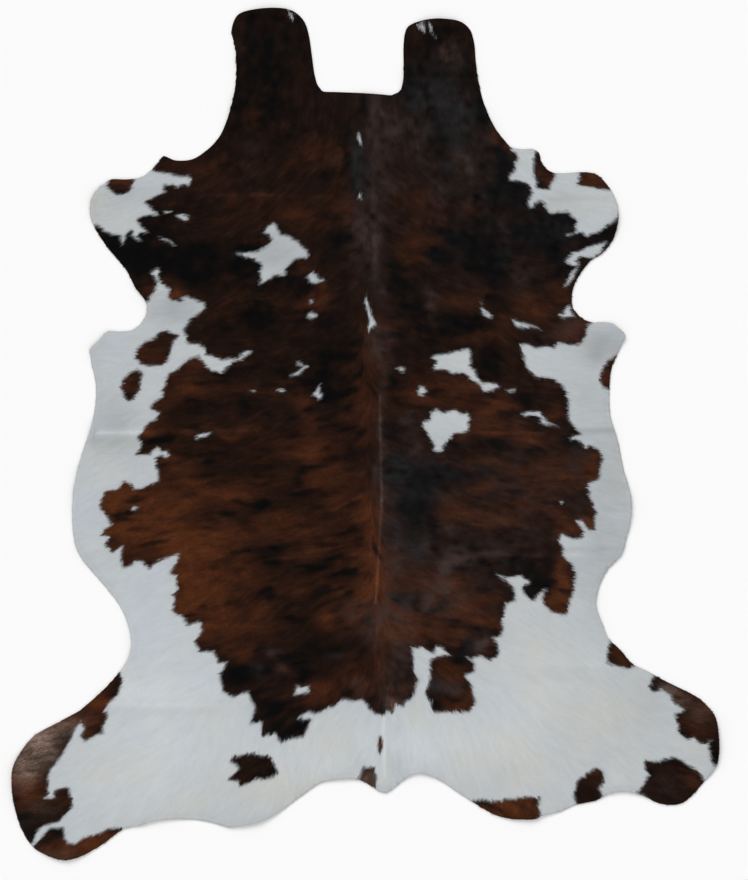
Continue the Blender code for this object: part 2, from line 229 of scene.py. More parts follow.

# ---- The colours of the coat ----

# Tones of the dark hair, as amounts that fade out from the middle of an area.
# Columns: place across and along the hide, reach across and along it (mm), amount in the middle
BLACK_AREAS = (
    # Neck
    (-256, 1022, 108, 162, 0.75), (-278, 852, 108, 81, 0.25), (244, 968, 38, 43, 0.3),
    (-342, 860, 24, 70, 0.55), (-237, 898, 40, 24, 0.7), (-13, 868, 14, 49, 0.3),
    (-216, 771, 38, 19, 0.2), (117, 895, 24, 24, 0.7), (298, 868, 22, 32, 0.85), (208, 773, 24, 43, 0.75),
    (289, 873, 22, 35, 0.75), (130, 927, 27, 24, 0.5), (162, 1016, 24, 27, 0.6), (276, 1008, 19, 46, 0.5),
    (203, 819, 162, 162, 0.15), (203, 1035, 97, 97, 0.6), (-45, 819, 22, 108, 0.4), (1, 868, 8, 49, 0.6),
    # Shoulders
    (-175, 765, 162, 108, 0.15), (338, 657, 135, 162, 0.25), (432, 482, 162, 135, 0.2),
    (-350, 657, 162, 108, 0.12), (-310, 711, 38, 22, 0.25), (-458, 619, 54, 19, 0.4),
    (-72, 533, 27, 38, 0.75), (-102, 463, 32, 35, 0.6), (-553, 571, 65, 30, 0.9),
    (-666, 522, 70, 43, 0.85), (-512, 476, 216, 43, 0.88), (-629, 463, 59, 38, 0.5),
    (-337, 463, 68, 32, 0.9), (-472, 436, 108, 24, 0.6), (-242, 403, 76, 19, 0.55),
    (11, 422, 16, 22, 0.35), (19, 676, 32, 16, 0.6), (57, 649, 38, 11, 0.4), (9, 668, 14, 16, 0.5),
    (103, 603, 19, 22, 0.4), (-40, 706, 19, 59, 0.45), (365, 630, 270, 243, 0.16),
    (370, 738, 38, 38, 0.75), (392, 657, 65, 43, 0.85), (486, 563, 103, 54, 0.85),
    (446, 501, 103, 32, 0.7), (581, 530, 54, 32, 0.55), (643, 544, 38, 32, 0.5), (265, 533, 59, 43, 0.85),
    (195, 474, 27, 22, 0.75), (333, 463, 35, 108, 0.7), (284, 455, 32, 38, 0.4), (532, 452, 32, 27, 0.65),
    (84, 441, 22, 38, 0.5), (17, 676, 19, 22, 0.6), (-62, 555, 19, 32, 0.5), (-35, 479, 22, 24, 0.3),
    # Ribs
    (-202, 301, 135, 76, 0.2), (-116, 312, 27, 19, 0.7), (-310, 306, 49, 19, 0.7),
    (-404, 387, 54, 27, 0.3), (-167, 360, 27, 38, 0.5), (-256, 344, 81, 16, 0.35),
    (111, 371, 59, 70, 0.6), (244, 304, 76, 19, 0.85), (-288, 290, 49, 22, 0.75),
    (-404, 274, 32, 22, 0.55), (-467, 258, 22, 22, 0.35), (-67, 279, 38, 38, 0.55),
    (-94, 150, 59, 92, 0.85), (-86, 112, 38, 32, 0.5), (-221, 168, 32, 19, 0.75),
    (-324, 177, 68, 14, 0.35), (-472, 74, 38, 22, 0.45), (-337, 58, 22, 43, 0.5),
    (-278, 52, 22, 16, 0.35), (-202, 58, 27, 14, 0.35), (-107, 4, 38, 19, 0.25), (63, 150, 16, 32, 0.8),
    (136, 252, 59, 43, 0.55), (230, 279, 54, 22, 0.55), (324, 198, 38, 43, 0.75),
    (338, 155, 27, 14, 0.45), (411, 85, 38, 22, 0.85), (465, 96, 43, 19, 0.3),
    # Flanks
    (-580, -26, 38, 19, 0.5), (-512, -56, 43, 14, 0.5), (-364, -45, 27, 24, 0.45),
    (-378, -104, 70, 22, 0.45), (-278, -123, 27, 16, 0.25), (-148, -104, 43, 14, 0.55),
    (-172, -134, 35, 22, 0.6), (-216, -169, 59, 19, 0.35), (-315, -212, 70, 16, 0.5),
    (-13, -37, 24, 35, 0.7), (-53, -61, 40, 22, 0.35), (-242, -307, 65, 19, 0.5),
    (-175, -201, 43, 19, 0.25), (-634, -234, 24, 19, 0.15), (-580, -301, 24, 22, 0.2),
    (-467, -223, 27, 19, 0.2), (562, -26, 22, 22, 0.6), (370, -26, 38, 14, 0.55),
    (473, -45, 54, 16, 0.35), (392, -77, 22, 22, 0.2), (82, -64, 27, 16, 0.85), (82, -10, 22, 27, 0.45),
    (203, -110, 92, 32, 0.95), (138, -182, 46, 76, 0.95), (176, -261, 38, 24, 0.5),
    (-13, -34, 32, 19, 0.45), (179, -199, 16, 14, 0.45), (546, -158, 38, 22, 0.2),
    (473, -236, 59, 16, 0.3), (365, -166, 43, 16, 0.15), (249, -293, 38, 22, 0.6),
    (378, -304, 54, 16, 0.5), (324, -264, 38, 11, 0.3), (203, -328, 19, 19, 0.35),
    (160, -350, 27, 14, 0.5), (-256, -342, 38, 40, 0.5), (-45, -363, 32, 24, 0.85),
    (-80, -396, 22, 19, 0.6), (-134, -363, 38, 24, 0.55), (-342, -409, 24, 30, 0.4),
    (-359, -369, 22, 16, 0.2), (284, -355, 32, 16, 0.55), (327, -388, 38, 30, 0.55),
    (400, -361, 43, 24, 1.0), (476, -385, 35, 46, 1.0), (500, -336, 27, 16, 0.35),
    (573, -23, 32, 14, 0.5), (568, -172, 32, 22, 0.35),
    # Loin and thighs
    (-251, -428, 24, 22, 0.7), (-472, -426, 22, 16, 0.25), (-175, -463, 70, 49, 0.15),
    (-175, -501, 43, 14, 0.5), (-35, -450, 19, 35, 0.35), (9, -498, 16, 14, 0.35),
    (-437, -566, 27, 19, 0.4), (-234, -539, 27, 16, 0.25), (-278, -588, 24, 22, 0.6),
    (-107, -571, 70, 35, 0.9), (-80, -542, 32, 14, 0.5), (-162, -644, 30, 32, 0.9),
    (-216, -612, 54, 22, 0.45), (-67, -625, 43, 24, 0.25), (-353, -666, 43, 32, 0.85),
    (-288, -625, 43, 24, 0.45), (100, -444, 35, 22, 0.5), (136, -455, 22, 27, 0.45),
    (330, -471, 27, 14, 0.35), (219, -474, 38, 16, 0.45), (176, -566, 24, 16, 0.4),
    (249, -598, 27, 16, 0.4), (230, -696, 40, 11, 0.6), (276, -571, 22, 24, 0.6),
    (324, -609, 16, 11, 0.35), (289, -536, 32, 16, 0.3), (446, -428, 24, 24, 1.0),
    (108, -644, 32, 19, 0.35), (-664, -693, 16, 22, 0.7), (778, -674, 24, 19, 0.75),
    # Rump and hind legs
    (-242, -720, 59, 24, 0.7), (-216, -785, 59, 30, 0.85), (36, -733, 27, 19, 0.3),
    (-26, -714, 27, 11, 0.4), (187, -728, 22, 22, 0.65), (95, -714, 22, 11, 0.25),
    (-299, -901, 70, 38, 0.12), (-793, -809, 19, 16, 0.7), (-834, -882, 24, 19, 0.7),
    (-858, -917, 22, 16, 0.6), (-818, -968, 22, 24, 0.5), (-909, -1057, 22, 24, 0.5),
    (311, -1001, 22, 16, 0.6), (-839, -1068, 24, 14, 0.7), (-693, -1063, 24, 5, 0.4),
    (840, -758, 16, 11, 0.6), (846, -806, 22, 19, 0.6), (937, -849, 16, 38, 0.85),
    (829, -887, 43, 19, 0.55), (765, -906, 30, 30, 0.55), (592, -968, 38, 38, 0.4),
)

CHESTNUT_AREAS = (
    # Neck
    (-305, 841, 24, 38, 0.28), (338, 841, 11, 49, 0.75), (370, 790, 19, 16, 0.85),
    (222, 1032, 27, 32, 0.35),
    # Shoulders
    (-121, 749, 65, 40, 0.3), (-78, 736, 19, 27, 0.3), (-445, 722, 81, 24, 0.22),
    (-378, 684, 81, 32, 0.1), (-350, 646, 122, 14, 0.06), (-342, 649, 16, 11, 0.15),
    (-272, 649, 22, 11, 0.2), (-256, 611, 162, 43, 0.05), (-183, 584, 54, 32, 0.4),
    (-53, 617, 38, 38, 0.3), (-350, 565, 86, 27, 0.06), (-310, 511, 32, 14, 0.2),
    (-580, 406, 22, 24, 0.45), (-170, 457, 22, 22, 0.22), (57, 673, 27, 22, 0.15),
    (130, 641, 40, 27, 0.22), (162, 584, 46, 49, 0.24), (141, 498, 35, 32, 0.45),
    (133, 438, 40, 30, 0.22), (95, 509, 24, 49, 0.15), (268, 625, 27, 14, 0.3), (403, 457, 30, 22, 0.32),
    (476, 611, 16, 16, 0.3), (-656, 671, 43, 27, 0.7), (486, 690, 38, 43, 0.7), (608, 684, 49, 27, 0.75),
    # Ribs
    (-510, 376, 22, 22, 0.8), (-124, 368, 27, 43, 0.42), (-378, 320, 70, 24, 0.1),
    (-242, 366, 81, 11, 0.1), (-229, 330, 70, 8, 0.16), (522, 398, 38, 22, 0.3), (486, 349, 65, 22, 0.6),
    (414, 360, 32, 22, 0.25), (262, 358, 70, 22, 0.38), (322, 368, 16, 14, 0.3), (554, 287, 43, 27, 0.6),
    (378, 306, 32, 19, 0.4), (149, 293, 38, 14, 0.28), (324, 266, 65, 19, 0.32), (14, 239, 32, 49, 0.36),
    (-5, 90, 35, 92, 0.36), (-8, 36, 24, 32, 0.15), (-445, 196, 54, 24, 0.38), (-458, 123, 65, 24, 0.45),
    (-540, 131, 49, 49, 0.25), (-256, 123, 73, 16, 0.34), (-575, 58, 38, 38, 0.35),
    (-591, 15, 24, 19, 0.75), (-494, 4, 65, 11, 0.42), (-337, 12, 54, 11, 0.35), (-156, 79, 38, 22, 0.42),
    (-153, 31, 32, 22, 0.25), (257, 133, 76, 24, 0.52), (136, 82, 38, 27, 0.5), (162, 104, 81, 22, 0.2),
    (360, 66, 35, 24, 0.75), (495, 55, 14, 16, 0.55), (284, 15, 81, 24, 0.4), (424, 1, 43, 22, 0.6),
    (500, 117, 54, 22, 0.15), (284, 77, 70, 22, 0.25), (52, 258, 24, 49, 0.3), (-580, 225, 70, 54, 0.28),
    (-634, 133, 38, 49, 0.25), (654, 160, 27, 49, 0.5),
    # Flanks
    (-148, -45, 68, 43, 0.6), (-80, -99, 49, 19, 0.3), (-531, -91, 35, 27, 0.65),
    (-472, -120, 43, 24, 0.5), (-696, -188, 38, 43, 0.95), (-666, -234, 81, 108, 0.55),
    (-634, -153, 38, 24, 0.75), (-540, -180, 108, 32, 0.6), (-566, -261, 108, 65, 0.72),
    (-521, -272, 49, 43, 0.75), (-386, -158, 86, 22, 0.55), (-359, -261, 65, 30, 0.5),
    (-404, -301, 70, 38, 0.45), (-224, -255, 86, 16, 0.45), (-143, -301, 54, 24, 0.38),
    (-72, -147, 51, 30, 0.42), (-48, -185, 40, 11, 0.25), (11, -196, 24, 59, 0.6),
    (6, -255, 22, 32, 0.45), (17, -304, 22, 49, 0.78), (-80, -247, 122, 176, 0.14),
    (311, -2, 70, 11, 0.3), (613, -64, 30, 32, 0.6), (608, -110, 38, 24, 0.7), (608, -174, 32, 54, 0.3),
    (527, -93, 38, 24, 0.45), (460, -120, 92, 59, 0.42), (311, -72, 70, 22, 0.3),
    (311, -150, 43, 19, 0.5), (244, -212, 43, 19, 0.58), (222, -177, 43, 16, 0.3),
    (338, -226, 59, 22, 0.55), (473, -188, 76, 22, 0.3), (527, -223, 24, 24, 0.35),
    (557, -264, 32, 24, 0.7), (608, -245, 19, 24, 0.8), (-472, -374, 92, 92, 0.82),
    (-526, -301, 54, 32, 0.5), (-318, -363, 30, 22, 0.45), (-391, -342, 65, 32, 0.4),
    (-175, -290, 32, 38, 0.15), (-94, -323, 86, 11, 0.42), (-167, -417, 32, 22, 0.25),
    (-278, -398, 38, 22, 0.4), (25, -412, 32, 43, 0.98), (3, -355, 24, 24, 0.6), (206, -415, 22, 40, 0.4),
    (52, -355, 22, 24, 0.45), (144, -369, 43, 22, 0.42), (136, -404, 27, 16, 0.42),
    (198, -404, 24, 19, 0.65), (238, -404, 24, 32, 0.65), (449, -347, 16, 19, 0.55),
    (535, -401, 32, 59, 0.95), (-540, -18, 54, 38, 0.2), (-337, -180, 243, 216, 0.07),
    (-40, -342, 68, 38, 0.25),
    # Loin and thighs
    (-35, -428, 59, 70, 0.22), (-432, -466, 76, 65, 0.88), (-291, -466, 43, 24, 0.35),
    (-99, -493, 24, 22, 0.78), (-67, -428, 32, 22, 0.35), (-26, -490, 32, 35, 0.5),
    (52, -439, 27, 54, 0.6), (63, -477, 43, 54, 0.75), (3, -444, 27, 59, 0.35), (-40, -650, 32, 38, 0.35),
    (-324, -525, 86, 24, 0.5), (-413, -504, 49, 22, 0.6), (-391, -550, 43, 22, 0.28),
    (-337, -598, 43, 27, 0.42), (-229, -633, 22, 16, 0.35), (-121, -690, 59, 24, 0.6),
    (-21, -677, 30, 19, 0.42), (30, -612, 24, 92, 0.3), (284, -450, 97, 108, 0.18),
    (176, -439, 19, 24, 0.75), (103, -498, 38, 38, 0.6), (279, -458, 38, 24, 0.36),
    (316, -434, 43, 16, 0.15), (203, -515, 92, 32, 0.45), (333, -512, 35, 22, 0.62),
    (270, -485, 32, 16, 0.5), (235, -560, 24, 22, 0.42), (211, -625, 35, 27, 0.4),
    (244, -642, 24, 16, 0.5), (287, -687, 16, 22, 0.6), (341, -579, 16, 24, 0.5),
    (505, -455, 32, 32, 0.6), (108, -687, 32, 19, 0.3), (95, -482, 81, 54, 0.3),
    (-445, -558, 38, 54, 0.3), (681, -601, 27, 32, 0.4),
    # Rump and hind legs
    (-143, -722, 43, 16, 0.4), (-210, -739, 32, 14, 0.25), (68, -728, 16, 16, 0.7),
    (252, -720, 43, 22, 0.6), (-796, -1119, 108, 27, 0.55), (-702, -1087, 43, 22, 0.55),
    (-734, -779, 27, 27, 0.6), (-756, -809, 22, 22, 0.6), (-807, -776, 59, 24, 0.6),
    (-707, -720, 54, 27, 0.95), (360, -1006, 108, 43, 0.9), (38, -844, 14, 27, 0.8),
    (878, -930, 32, 32, 0.25), (616, -925, 24, 27, 0.3), (892, -801, 38, 22, 0.3),
    (-909, -979, 49, 27, 0.6), (-804, -993, 22, 22, 0.2), (-920, -941, 43, 32, 0.95),
    (-715, -1092, 54, 22, 0.5), (-818, -1119, 59, 24, 0.4), (878, -736, 54, 32, 0.5),
    (6, -930, 27, 32, 0.45),
)

# Painted sheen: grey highlights painted onto the dark hair
SHEEN_AREAS = (
    # Neck
    (30, 833, 24, 97, 0.62), (87, 825, 43, 43, 0.4), (136, 798, 38, 32, 0.35), (306, 803, 27, 22, 0.3),
    (230, 1019, 32, 43, 0.45), (330, 852, 11, 32, 0.2),
    # Shoulders
    (22, 555, 11, 108, 0.62), (6, 560, 35, 113, 0.42), (-16, 563, 19, 35, 0.42), (162, 727, 27, 22, 0.2),
    (252, 754, 16, 24, 0.5), (276, 717, 14, 32, 0.5), (311, 652, 14, 32, 0.4), (198, 657, 22, 32, 0.35),
    (373, 555, 14, 24, 0.25), (414, 414, 22, 27, 0.35), (268, 625, 24, 14, 0.3), (311, 725, 27, 32, 0.15),
    (57, 673, 22, 30, 0.4), (22, 555, 19, 32, 0.35), (-86, 738, 16, 22, 0.15), (-305, 765, 27, 81, 0.08),
    # Ribs
    (173, 360, 14, 38, 0.5), (41, 241, 27, 46, 0.6), (41, 382, 16, 32, 0.3), (554, 287, 38, 27, 0.45),
    (486, 271, 32, 16, 0.25), (125, 31, 27, 22, 0.35),
    # Flanks
    (41, -45, 11, 157, 0.55), (432, -180, 189, 189, 0.14), (311, -396, 108, 108, 0.12),
    (603, -166, 32, 59, 0.15), (122, -31, 35, 35, 0.35), (63, -193, 19, 59, 0.4),
    (225, -253, 24, 14, 0.45), (203, -166, 35, 11, 0.3), (244, -331, 40, 16, 0.75),
    (222, -353, 22, 22, 0.85), (316, -318, 73, 16, 0.4), (95, -320, 40, 32, 0.4),
    (222, -374, 16, 27, 0.5), (162, -301, 24, 24, 0.5), (559, -99, 24, 19, 0.3), (73, -355, 24, 27, 0.6),
    (198, -404, 24, 19, 0.4),
    # Loin and thighs
    (82, -693, 49, 49, 0.4), (208, -423, 59, 70, 0.3), (108, -450, 86, 65, 0.2), (82, -585, 27, 43, 0.3),
    (68, -485, 19, 22, 0.5), (195, -436, 19, 27, 0.75), (-26, -490, 32, 32, 0.35),
    (63, -496, 49, 54, 0.4), (14, -544, 22, 19, 0.85), (-251, -590, 24, 11, 0.5),
    (-229, -636, 22, 14, 0.35), (-21, -677, 27, 19, 0.35), (108, -585, 22, 38, 0.45),
    (63, -671, 22, 32, 0.45), (311, -571, 22, 22, 0.75), (176, -442, 16, 22, 0.4),
    (279, -458, 32, 22, 0.25), (222, -677, 38, 16, 0.65), (162, -466, 16, 22, 0.5),
    (-80, -598, 27, 11, 0.2),
    # Rump and hind legs
    (811, -949, 65, 38, 0.12), (6, -930, 27, 32, 0.5),
)

# Painted sheen: cool blue-black highlights painted onto the dark hair
COOL_SHEEN_AREAS = (
    # Neck
    (235, 868, 49, 38, 0.5), (254, 808, 27, 32, 0.8), (176, 898, 70, 46, 0.5), (149, 833, 43, 27, 0.3),
    (192, 927, 81, 54, 0.35),
    # Shoulders
    (-18, 717, 19, 73, 0.85), (338, 644, 270, 243, 0.16), (219, 725, 16, 16, 0.45),
    (365, 479, 16, 30, 0.45), (514, 555, 38, 54, 0.25),
    # Flanks
    (338, -139, 202, 113, 0.14), (84, -115, 32, 43, 0.9), (117, -69, 49, 16, 0.4),
    (203, -93, 43, 24, 0.3), (176, -147, 22, 22, 0.3), (79, -180, 16, 38, 0.45), (138, -212, 54, 81, 0.2),
    (82, -261, 24, 35, 0.4), (136, -304, 24, 38, 0.5), (284, -309, 40, 19, 0.45),
    (576, -50, 30, 27, 0.35), (527, -180, 43, 27, 0.12),
    # Loin and thighs
    (-291, -639, 19, 16, 0.5), (100, -444, 32, 22, 0.4), (136, -455, 22, 24, 0.3),
    (181, -674, 22, 27, 0.6), (276, -571, 22, 22, 0.45),
    # Rump and hind legs
    (-918, -1049, 19, 24, 0.35),
)

ROAN_AREAS = (
    # Loin and thighs
    (816, -693, 22, 16, 0.36),
    # Rump and hind legs
    (-885, -830, 40, 38, 0.95), (-834, -793, 46, 27, 0.42), (-785, -763, 32, 14, 0.15),
    (-861, -874, 27, 22, 0.3), (-904, -912, 22, 19, 0.6), (-931, -893, 32, 32, 0.45),
    (-926, -944, 35, 22, 0.14), (-818, -1138, 54, 22, 0.1), (-872, -1006, 32, 22, 0.08),
    (6, -930, 22, 24, 0.25), (851, -722, 22, 14, 0.15), (856, -709, 16, 14, 0.08),
    (900, -752, 27, 22, 0.1), (68, -731, 16, 16, 0.35),
)

# The white hair in the same columns: how much warmer it is, or cooler where the amount is below 0
WARM_WHITE_AREAS = (
    # Shoulders
    (581, 622, 92, 32, 0.4), (-723, 630, 38, 43, 0.7),
    # Ribs
    (-688, 225, 54, 38, -0.2),
    # Flanks
    (-688, -26, 59, 22, 0.3), (-769, -193, 32, 70, -0.4), (635, -301, 38, 54, -0.15),
    (667, -153, 32, 38, 0.15),
    # Loin and thighs
    (446, -612, 49, 65, 0.4), (-580, -490, 65, 124, -0.4),
    # Rump and hind legs
    (608, -760, 157, 103, 0.42), (378, -903, 151, 76, 0.5), (878, -841, 59, 38, 0.5),
    (136, -752, 22, 38, 0.5), (-242, -949, 119, 59, 0.6), (-472, -990, 65, 38, 0.45),
    (-674, -909, 92, 38, 0.35), (-418, -760, 54, 38, 0.3), (-80, -833, 59, 49, 0.4),
    (54, -887, 16, 54, 0.4), (87, -860, 32, 54, -0.1),
)
# Painted light and shade on the white hair: how much brighter or darker it is drawn in each area
WHITE_LIGHT_AND_SHADE = (
    # Shoulders
    (-688, 609, 70, 38, -0.02), (-580, 657, 54, 27, -0.06), (-661, 657, 38, 27, -0.05),
    (527, 644, 38, 27, -0.06), (-242, 490, 70, 49, -0.2), (-134, 425, 32, 24, -0.1),
    (594, 609, 43, 27, 0.04),
    # Ribs
    (-512, 339, 65, 40, -0.2), (-674, 23, 65, 65, -0.18), (635, 244, 59, 40, -0.26),
    (622, 206, 27, 24, -0.14), (594, 90, 54, 70, -0.07),
    # Flanks
    (-769, -193, 70, 54, 0.06), (662, -153, 65, 167, -0.16), (608, -401, 70, 54, -0.09),
    (635, -288, 38, 43, -0.09), (689, -212, 32, 32, 0.05),
    # Loin and thighs
    (-688, -423, 135, 135, 0.04),
    # Rump and hind legs
    (-553, -720, 243, 189, 0.14), (95, -841, 256, 81, 0.1), (419, -720, 162, 148, 0.08),
    (-175, -895, 122, 59, 0.06), (87, -887, 35, 32, -0.1), (-18, -887, 32, 27, -0.07),
    (-661, -976, 189, 76, 0.07), (-499, -882, 108, 70, 0.05), (108, -855, 108, 81, 0.05),
    (-607, -733, 81, 54, 0.04), (757, -720, 65, 70, -0.07),
)

# Painted light and shade along the folds, where the hair stands up: painted highlights on the crests and
# painted shade in the valleys.
# Columns: name, start (mm), end (mm), half width (mm), change
FOLD_LIGHT_AND_SHADE = (
    ("left shoulder crest", (-437, 644), (-348, 646), 4, 0.55),
    ("left shoulder crest, peak", (-305, 646), (-251, 646), 5, 0.90),
    ("left shoulder crest, inner", (-251, 646), (-116, 641), 4, 0.30),
    ("left belly crest", (-720, 4), (-288, 9), 5, 0.45),
    ("left belly crest, white", (-705, 4), (-600, 4), 13, 0.38),
    ("left belly, below the crest", (-769, -20), (-310, -15), 11, -0.06),
    ("left thigh valley", (-680, -750), (-420, -750), 14, -0.10),
    ("left rib crease", (-251, -336), (19, -323), 4, 0.40),
    ("left rib wrinkle", (-89, -207), (-8, -164), 4, 0.50),
    ("back, upper", (22, 641), (28, 428), 5, 0.20),
    ("back, middle", (38, 104), (44, -180), 3, 1.30),
    ("back, lower", (44, -180), (28, -455), 3, 1.00),
    ("right rib crest", (244, 1), (486, 4), 5, 0.35),
    ("right belly valley", (559, 8), (681, 8), 8, -0.40),
    ("right flank valley", (284, -309), (635, -312), 7, -0.20),
    ("right flank crest", (311, -326), (568, -328), 6, 0.20),
    ("right flank edge valley", (640, -308), (715, -308), 7, -0.16),
    ("left thigh crest", (-693, -728), (-348, -733), 7, 0.12),
    ("right thigh crest", (365, -623), (694, -620), 7, 0.08),
    ("right foreleg valley", (495, 633), (667, 636), 6, -0.14),
    ("right neck flap valley", (117, 973), (300, 970), 10, -0.42),
    ("right neck flap, second valley", (117, 945), (300, 945), 6, -0.20),
    ("tail ridge", (49, -763), (52, -925), 5, 0.30),
)

# Edges of the patches, seen from above (mm). The main patch of dark hair is one closed line, in
# stretches that follow each other. It runs outside the hide where the hide's own edge ends it.
MAIN_PATCH = (
    ("left foreleg", (
        (-566, 708), (-537, 706), (-499, 695), (-477, 698), (-469, 690), (-469, 682), (-475, 673),
        (-496, 673), (-502, 665), (-521, 673), (-542, 673), (-545, 665), (-540, 652), (-594, 628),
        (-558, 592), (-604, 590), (-615, 582), (-612, 571), (-588, 546), (-607, 541), (-612, 533),
        (-604, 520), (-615, 522), (-629, 538), (-623, 546), (-631, 552), (-645, 544), (-653, 511),
        (-661, 538), (-688, 541), (-726, 565))),
    ("outside, left armpit", (
        (-742, 544), (-666, 428), (-620, 347))),
    ("left chest", (
        (-583, 360), (-580, 371), (-569, 382), (-561, 409), (-566, 422), (-580, 433), (-558, 447),
        (-553, 412), (-526, 390), (-529, 376), (-521, 358), (-499, 355), (-488, 360), (-496, 368),
        (-477, 371), (-458, 363), (-450, 355), (-434, 355), (-432, 341), (-440, 328), (-475, 306),
        (-477, 295), (-491, 279), (-480, 263), (-483, 252), (-472, 244), (-445, 244), (-432, 233),
        (-426, 217), (-394, 206), (-388, 198), (-367, 204), (-345, 203), (-322, 221), (-307, 223),
        (-332, 201), (-353, 196), (-386, 163), (-415, 171), (-450, 209), (-472, 204))),
    ("left side", (
        (-488, 193), (-499, 179), (-526, 163), (-537, 150), (-537, 133), (-545, 120), (-546, 101),
        (-566, 88), (-577, 74), (-566, 60), (-554, 56), (-564, 39), (-581, 34), (-614, -7), (-604, -20),
        (-604, -42), (-618, -56), (-580, -56), (-561, -34), (-550, -45), (-529, -48), (-531, -61),
        (-553, -58), (-566, -66), (-560, -88), (-556, -126))),
    ("left belly", (
        (-580, -137), (-607, -147), (-623, -146), (-631, -137), (-650, -126), (-668, -150), (-702, -153),
        (-715, -193), (-712, -207), (-696, -220), (-685, -245), (-704, -258), (-710, -272), (-691, -277),
        (-699, -299), (-681, -318), (-654, -304), (-661, -342), (-650, -361), (-627, -355), (-619, -343),
        (-600, -344), (-580, -362), (-569, -349), (-499, -320), (-506, -342))),
    ("left thigh", (
        (-525, -374), (-510, -385), (-506, -416), (-518, -434), (-510, -450), (-521, -474), (-506, -488),
        (-488, -488), (-479, -516), (-445, -504), (-438, -531), (-458, -558), (-448, -588), (-407, -588),
        (-394, -617), (-371, -614), (-391, -650), (-383, -696))),
    ("rump, left of the tail", (
        (-353, -709), (-317, -693), (-294, -740), (-313, -782), (-280, -776), (-280, -814), (-245, -808),
        (-226, -833), (-209, -821), (-164, -814), (-145, -771), (-186, -767), (-155, -747), (-132, -754),
        (-74, -727), (-56, -712), (-40, -722), (-10, -714), (1, -722), (14, -744), (44, -758))),
    ("rump, right of the tail", (
        (57, -747), (73, -747), (82, -731), (103, -733), (108, -720), (125, -714), (133, -696),
        (134, -679), (141, -666), (130, -639), (127, -579), (149, -574), (183, -592), (190, -571),
        (203, -574), (227, -596), (196, -601), (173, -612), (175, -666), (162, -700), (176, -720),
        (179, -748), (277, -750), (300, -722), (291, -706), (287, -682), (268, -650), (291, -639),
        (295, -619), (264, -596), (284, -605), (311, -601), (335, -614), (354, -598), (358, -565),
        (345, -551), (366, -543))),
    ("right thigh", (
        (368, -504), (378, -457), (408, -447), (395, -409), (365, -389), (354, -376), (378, -389),
        (419, -382), (426, -393), (443, -398), (419, -412), (426, -430), (449, -450), (473, -426),
        (489, -417), (476, -443), (484, -463), (500, -480), (540, -490), (551, -443), (561, -420),
        (566, -376), (557, -353), (534, -331), (530, -308), (520, -288), (527, -268), (561, -285),
        (581, -281), (588, -261), (568, -234))),
    ("right side", (
        (581, -234), (601, -259), (615, -258), (622, -210), (605, -173), (597, -133), (632, -119),
        (632, -92), (640, -65), (627, -42), (603, -31), (594, -42), (581, -23), (565, -12), (549, -18),
        (557, -7), (581, -4), (547, 39), (543, 110), (527, 133), (503, 151), (460, 151), (446, 164),
        (432, 182), (430, 201), (419, 225), (419, 239), (432, 244), (466, 233), (489, 236), (507, 232),
        (520, 245), (547, 239), (574, 241), (588, 255), (603, 299))),
    ("outside, right armpit", (
        (624, 312), (597, 360), (603, 414), (635, 447), (667, 474), (705, 533), (711, 598))),
    ("right foreleg", (
        (681, 595), (676, 579), (624, 544), (597, 534), (581, 544), (543, 536), (568, 546), (565, 560),
        (571, 574), (546, 598), (519, 600), (497, 595), (481, 625), (468, 629), (454, 622), (449, 611),
        (440, 611), (437, 628), (450, 652), (435, 673), (414, 682), (389, 684), (386, 692), (400, 711),
        (403, 733), (411, 744), (406, 760), (392, 768))),
    ("outside, neck", (
        (387, 803), (352, 846), (338, 954), (324, 1143), (95, 1157), (82, 954), (-94, 954), (-134, 1170),
        (-364, 1170), (-378, 900), (-432, 792), (-540, 771), (-580, 725))),
)

